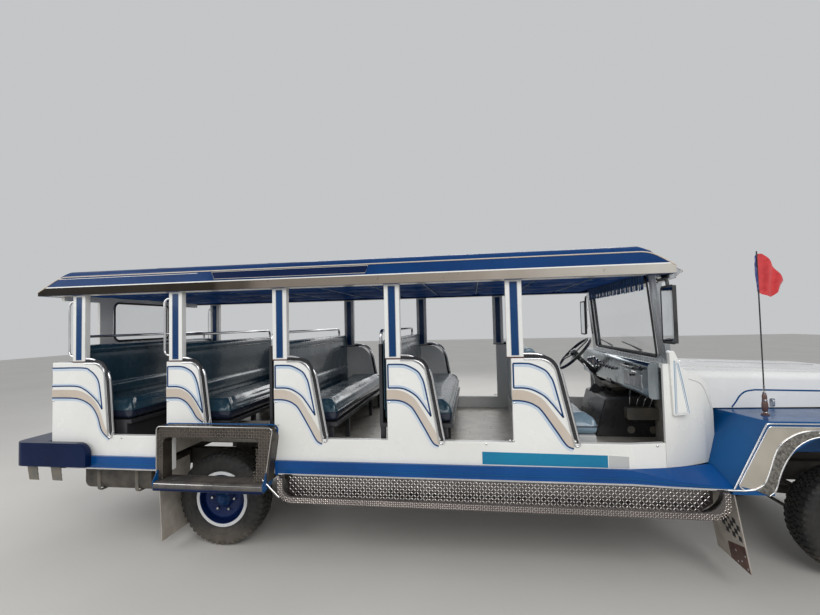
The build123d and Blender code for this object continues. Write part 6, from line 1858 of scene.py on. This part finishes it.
def rocker_cover(low, front, top):
    """A domed cover over the valves, with ribs across its top."""
    rings = []
    for x, d in ((low.x + 0.10, 0.012), (low.x + 0.115, 0.0), (front - 0.145, 0.0), (front - 0.13, 0.012)):
        half = [(0.080 - d, top + 0.020), (0.078 - d, top + 0.055 - d), (0.055 - d, top + 0.075 - d)]
        rings.append(laid("x", [(-y, z) for y, z in half] + half[::-1], x))
    cover = Shape().loft(rings)
    for n in range(5):
        x = low.x + 0.20 + 0.10 * n
        cover.loft([[(x, y, z), (x + 0.012, y, z + 0.004), (x + 0.024, y, z)]
                    for y, z in ((-0.050, top + 0.073), (0.050, top + 0.073))])
    return cover


def air_cleaner(x, top):
    """A round air cleaner with its duct."""
    y = -0.170
    cleaner = Shape().lathe([(0.0, 0.045), (0.020, 0.050), (0.026, 0.100), (0.032, 0.106), (0.068, 0.106),
                             (0.074, 0.100), (0.082, 0.060), (0.084, 0.012), (0.096, 0.010), (0.098, 0.001)],
                            (x, y, top - 0.001), "z", 40, False)
    return cleaner.tube(smooth([(x + 0.09, y, top + 0.050), (x + 0.17, -0.150, top + 0.045),
                                (x + 0.24, -0.115, top + 0.012)]), 0.022, 12)


def pipes_and_lines(low, front, top, side):
    """Four exhaust branches with their collector, and the injector lines from the pump."""
    pipes, lines = shapes(2)
    for n in range(4):
        x, pump_x = low.x + 0.16 + 0.16 * n, low.x + 0.15
        pipes.tube(smooth([(x, 0.115, top + 0.006), (x, 0.190, top + 0.010), (x + 0.01, 0.262, top - 0.035),
                           (x + 0.02, 0.278, top - 0.090)]), 0.021, 12)
        lines.tube(smooth([(pump_x + 0.05 * n, -side - 0.040, 1.049),
                           (pump_x + 0.07 * n, -side - 0.055, 1.120 + 0.01 * n),
                           (x + 0.02, -side + 0.020, top + 0.030), (x + 0.02, -0.100, top + 0.024)]),
                   0.0035, 8)
    pipes.tube(smooth([(front - 0.10, 0.280, top - 0.095), (low.x + 0.16, 0.280, top - 0.095),
                       (low.x + 0.06, 0.285, top - 0.150), (low.x + 0.02, 0.290, top - 0.340)], 8), 0.030, 14)
    return pipes, lines


def radiator_hoses(bands, front):
    """The two hoses to the radiator, with a band near each end."""
    hoses, core = Shape(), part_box("radiator")[0].x
    for start, end, rise in (((front - 0.004, 0.060, 1.120), (core + 0.002, 0.150, 1.150), 0.03),
                             ((front - 0.004, -0.120, 0.720), (core + 0.002, -0.200, 0.760), -0.03)):
        a, b, up = Vector(start), Vector(end), Vector((0, 0, rise))
        path = smooth([a, a.lerp(b, 0.35) + up, a.lerp(b, 0.7) + up, b])
        hoses.tube(path, 0.024, 14)
        for n in (1, len(path) - 2):
            way = (path[n + 1] - path[n - 1]).normalized()
            bands.tube([path[n] - way * 0.006, path[n] + way * 0.006], 0.0262, 18)
    return hoses


def fan_and_belt(front):
    """Three pulleys, a five-bladed fan on the upper one and the belt round them."""
    fan, hub_z, blades = Shape(), 0.930, 5
    for y, z, r in ((0.0, hub_z, 0.070), (0.0, 0.690, 0.085), (-0.170, 1.040, 0.042)):
        fan.lathe([(-0.002, r * 0.4), (0.004, r), (0.009, r), (0.014, r - 0.010), (0.019, r), (0.024, r),
                   (0.026, r * 0.5), (0.034, r * 0.3), (0.036, 0.001)], (front, y, z), "x", 36, False)
    blade = Shape().loft([[(-0.010, -0.026, 0.030), (0.008, 0.026, 0.030), (0.010, 0.026, 0.030),
                           (-0.008, -0.026, 0.030)],
                          [(-0.016, -0.050, 0.175), (0.012, 0.040, 0.175), (0.014, 0.040, 0.175),
                           (-0.014, -0.050, 0.175)]])
    hub = Matrix.Translation((front + 0.036, 0, hub_z))
    for n in range(blades):
        fan.put(blade, hub @ Matrix.Rotation(2 * pi * n / blades, 4, "X"))
    wrap = [(0.068, 0.930), (0.083, 0.690), (0.0, 0.607), (-0.083, 0.690), (-0.212, 1.035), (-0.185, 1.082),
            (-0.130, 1.062), (0.0, 1.000), (0.060, 0.965)]
    belt = Shape().tube(rounded(laid("x", wrap, front + 0.014), 0.03, 3, True), 0.0065, 6, True)
    return fan, belt


def engine_bay():
    """The engine's head and covers, manifold, injector lines, hoses, fan and belt, and the block's plugs."""
    low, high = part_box("engine_block")
    top, front, side = high.z, high.x, high.y
    head, bands, plugs = shapes(3)
    head.box((low.x + 0.06, -0.130, top - 0.002), (front - 0.10, 0.130, top + 0.022), 0.006)
    head.box((low.x + 0.12, -side - 0.075, 0.955), (low.x + 0.36, -side + 0.002, 1.050), 0.015)
    for x in (low.x + 0.16, (low.x + front) / 2, front - 0.20):
        bands.lathe([(0, 0.010), (0.010, 0.010), (0.014, 0.006), (0.018, 0.001)], (x, 0, top + 0.074), "z", 6,
                    False)
    pipes, lines = pipes_and_lines(low, front, top, side)
    hoses = radiator_hoses(bands, front)
    fan, belt = fan_and_belt(front)
    for n in range(4):
        for way in (-1, 1):
            plugs.lathe([(0, 0.030), (way * 0.003, 0.030), (way * 0.003, 0.024), (way * 0.001, 0.022),
                         (way * 0.001, 0.001)], (low.x + 0.17 + 0.17 * n, way * side, 0.860), "y", 28, False)
    for y in (-side - 0.001, side + 0.001):
        plugs.tube([(low.x, y, 0.705), (front, y, 0.705)], 0.006, 8)
    head.build("cylinder_head", "engine", bevel=0.003)
    rocker_cover(low, front, top).build("rocker_cover", "black_paint", angle=30)
    air_cleaner(low.x + 0.30, top).build("air_cleaner", "black_paint", angle=35)
    pipes.build("exhaust_manifold", "rusty", angle=60)
    lines.build("injector_lines", "steel", angle=60)
    hoses.build("radiator_hoses", "flap_dark", angle=60)
    bands.build("hose_bands", "steel", angle=40)
    fan.build("engine_fan", "frame_black", angle=40)
    belt.build("fan_belt", "flap_dark", angle=60)
    plugs.build("block_plugs", "engine", angle=40)


engine_bay()


# Stage: pale floor, pale surroundings and soft light

def stage_floor():
    """A wide matt floor under the wheels."""
    mesh = bpy.data.meshes.new("stage_floor")
    mesh.from_pydata(laid("z", corners((-30, -30), (30, 40)), 0), [], [(0, 1, 2, 3)])
    made = Material("stage_floor", (0.62, 0.60, 0.57), 0.55)
    made.mottle(0.6, (0.58, 0.56, 0.53))
    mesh.materials.append(made.data)
    floor = bpy.data.objects.new("stage_floor", mesh)
    scene.collection.objects.link(floor)


def soft_lamp(name, place, aim, size, power):
    """A large lamp that looks at a point."""
    data = bpy.data.lights.new(name, "AREA")
    data.shape = "RECTANGLE"
    data.size, data.size_y = size
    data.energy = power
    lamp = bpy.data.objects.new(name, data)
    lamp.location = place
    lamp.rotation_euler = (Vector(aim) - Vector(place)).to_track_quat("-Z", "Y").to_euler()
    scene.collection.objects.link(lamp)


def surroundings():
    """Pale sky light from all round."""
    world = bpy.data.worlds.new("surroundings")
    world.use_nodes = True
    back = world.node_tree.nodes["Background"]
    back.inputs["Color"].default_value = (0.92, 0.94, 0.96, 1)
    back.inputs["Strength"].default_value = 0.6
    scene.world = world


stage_floor()
surroundings()
soft_lamp("key", (2.5, -7.0, 5.5), (0, 0, 1.0), (6, 4), 300)
soft_lamp("fill", (-6.0, -4.0, 4.0), (-1.5, 0, 1.0), (4, 4), 120)
soft_lamp("back", (0.0, 8.0, 6.0), (0, 0, 1.0), (10, 4), 300)
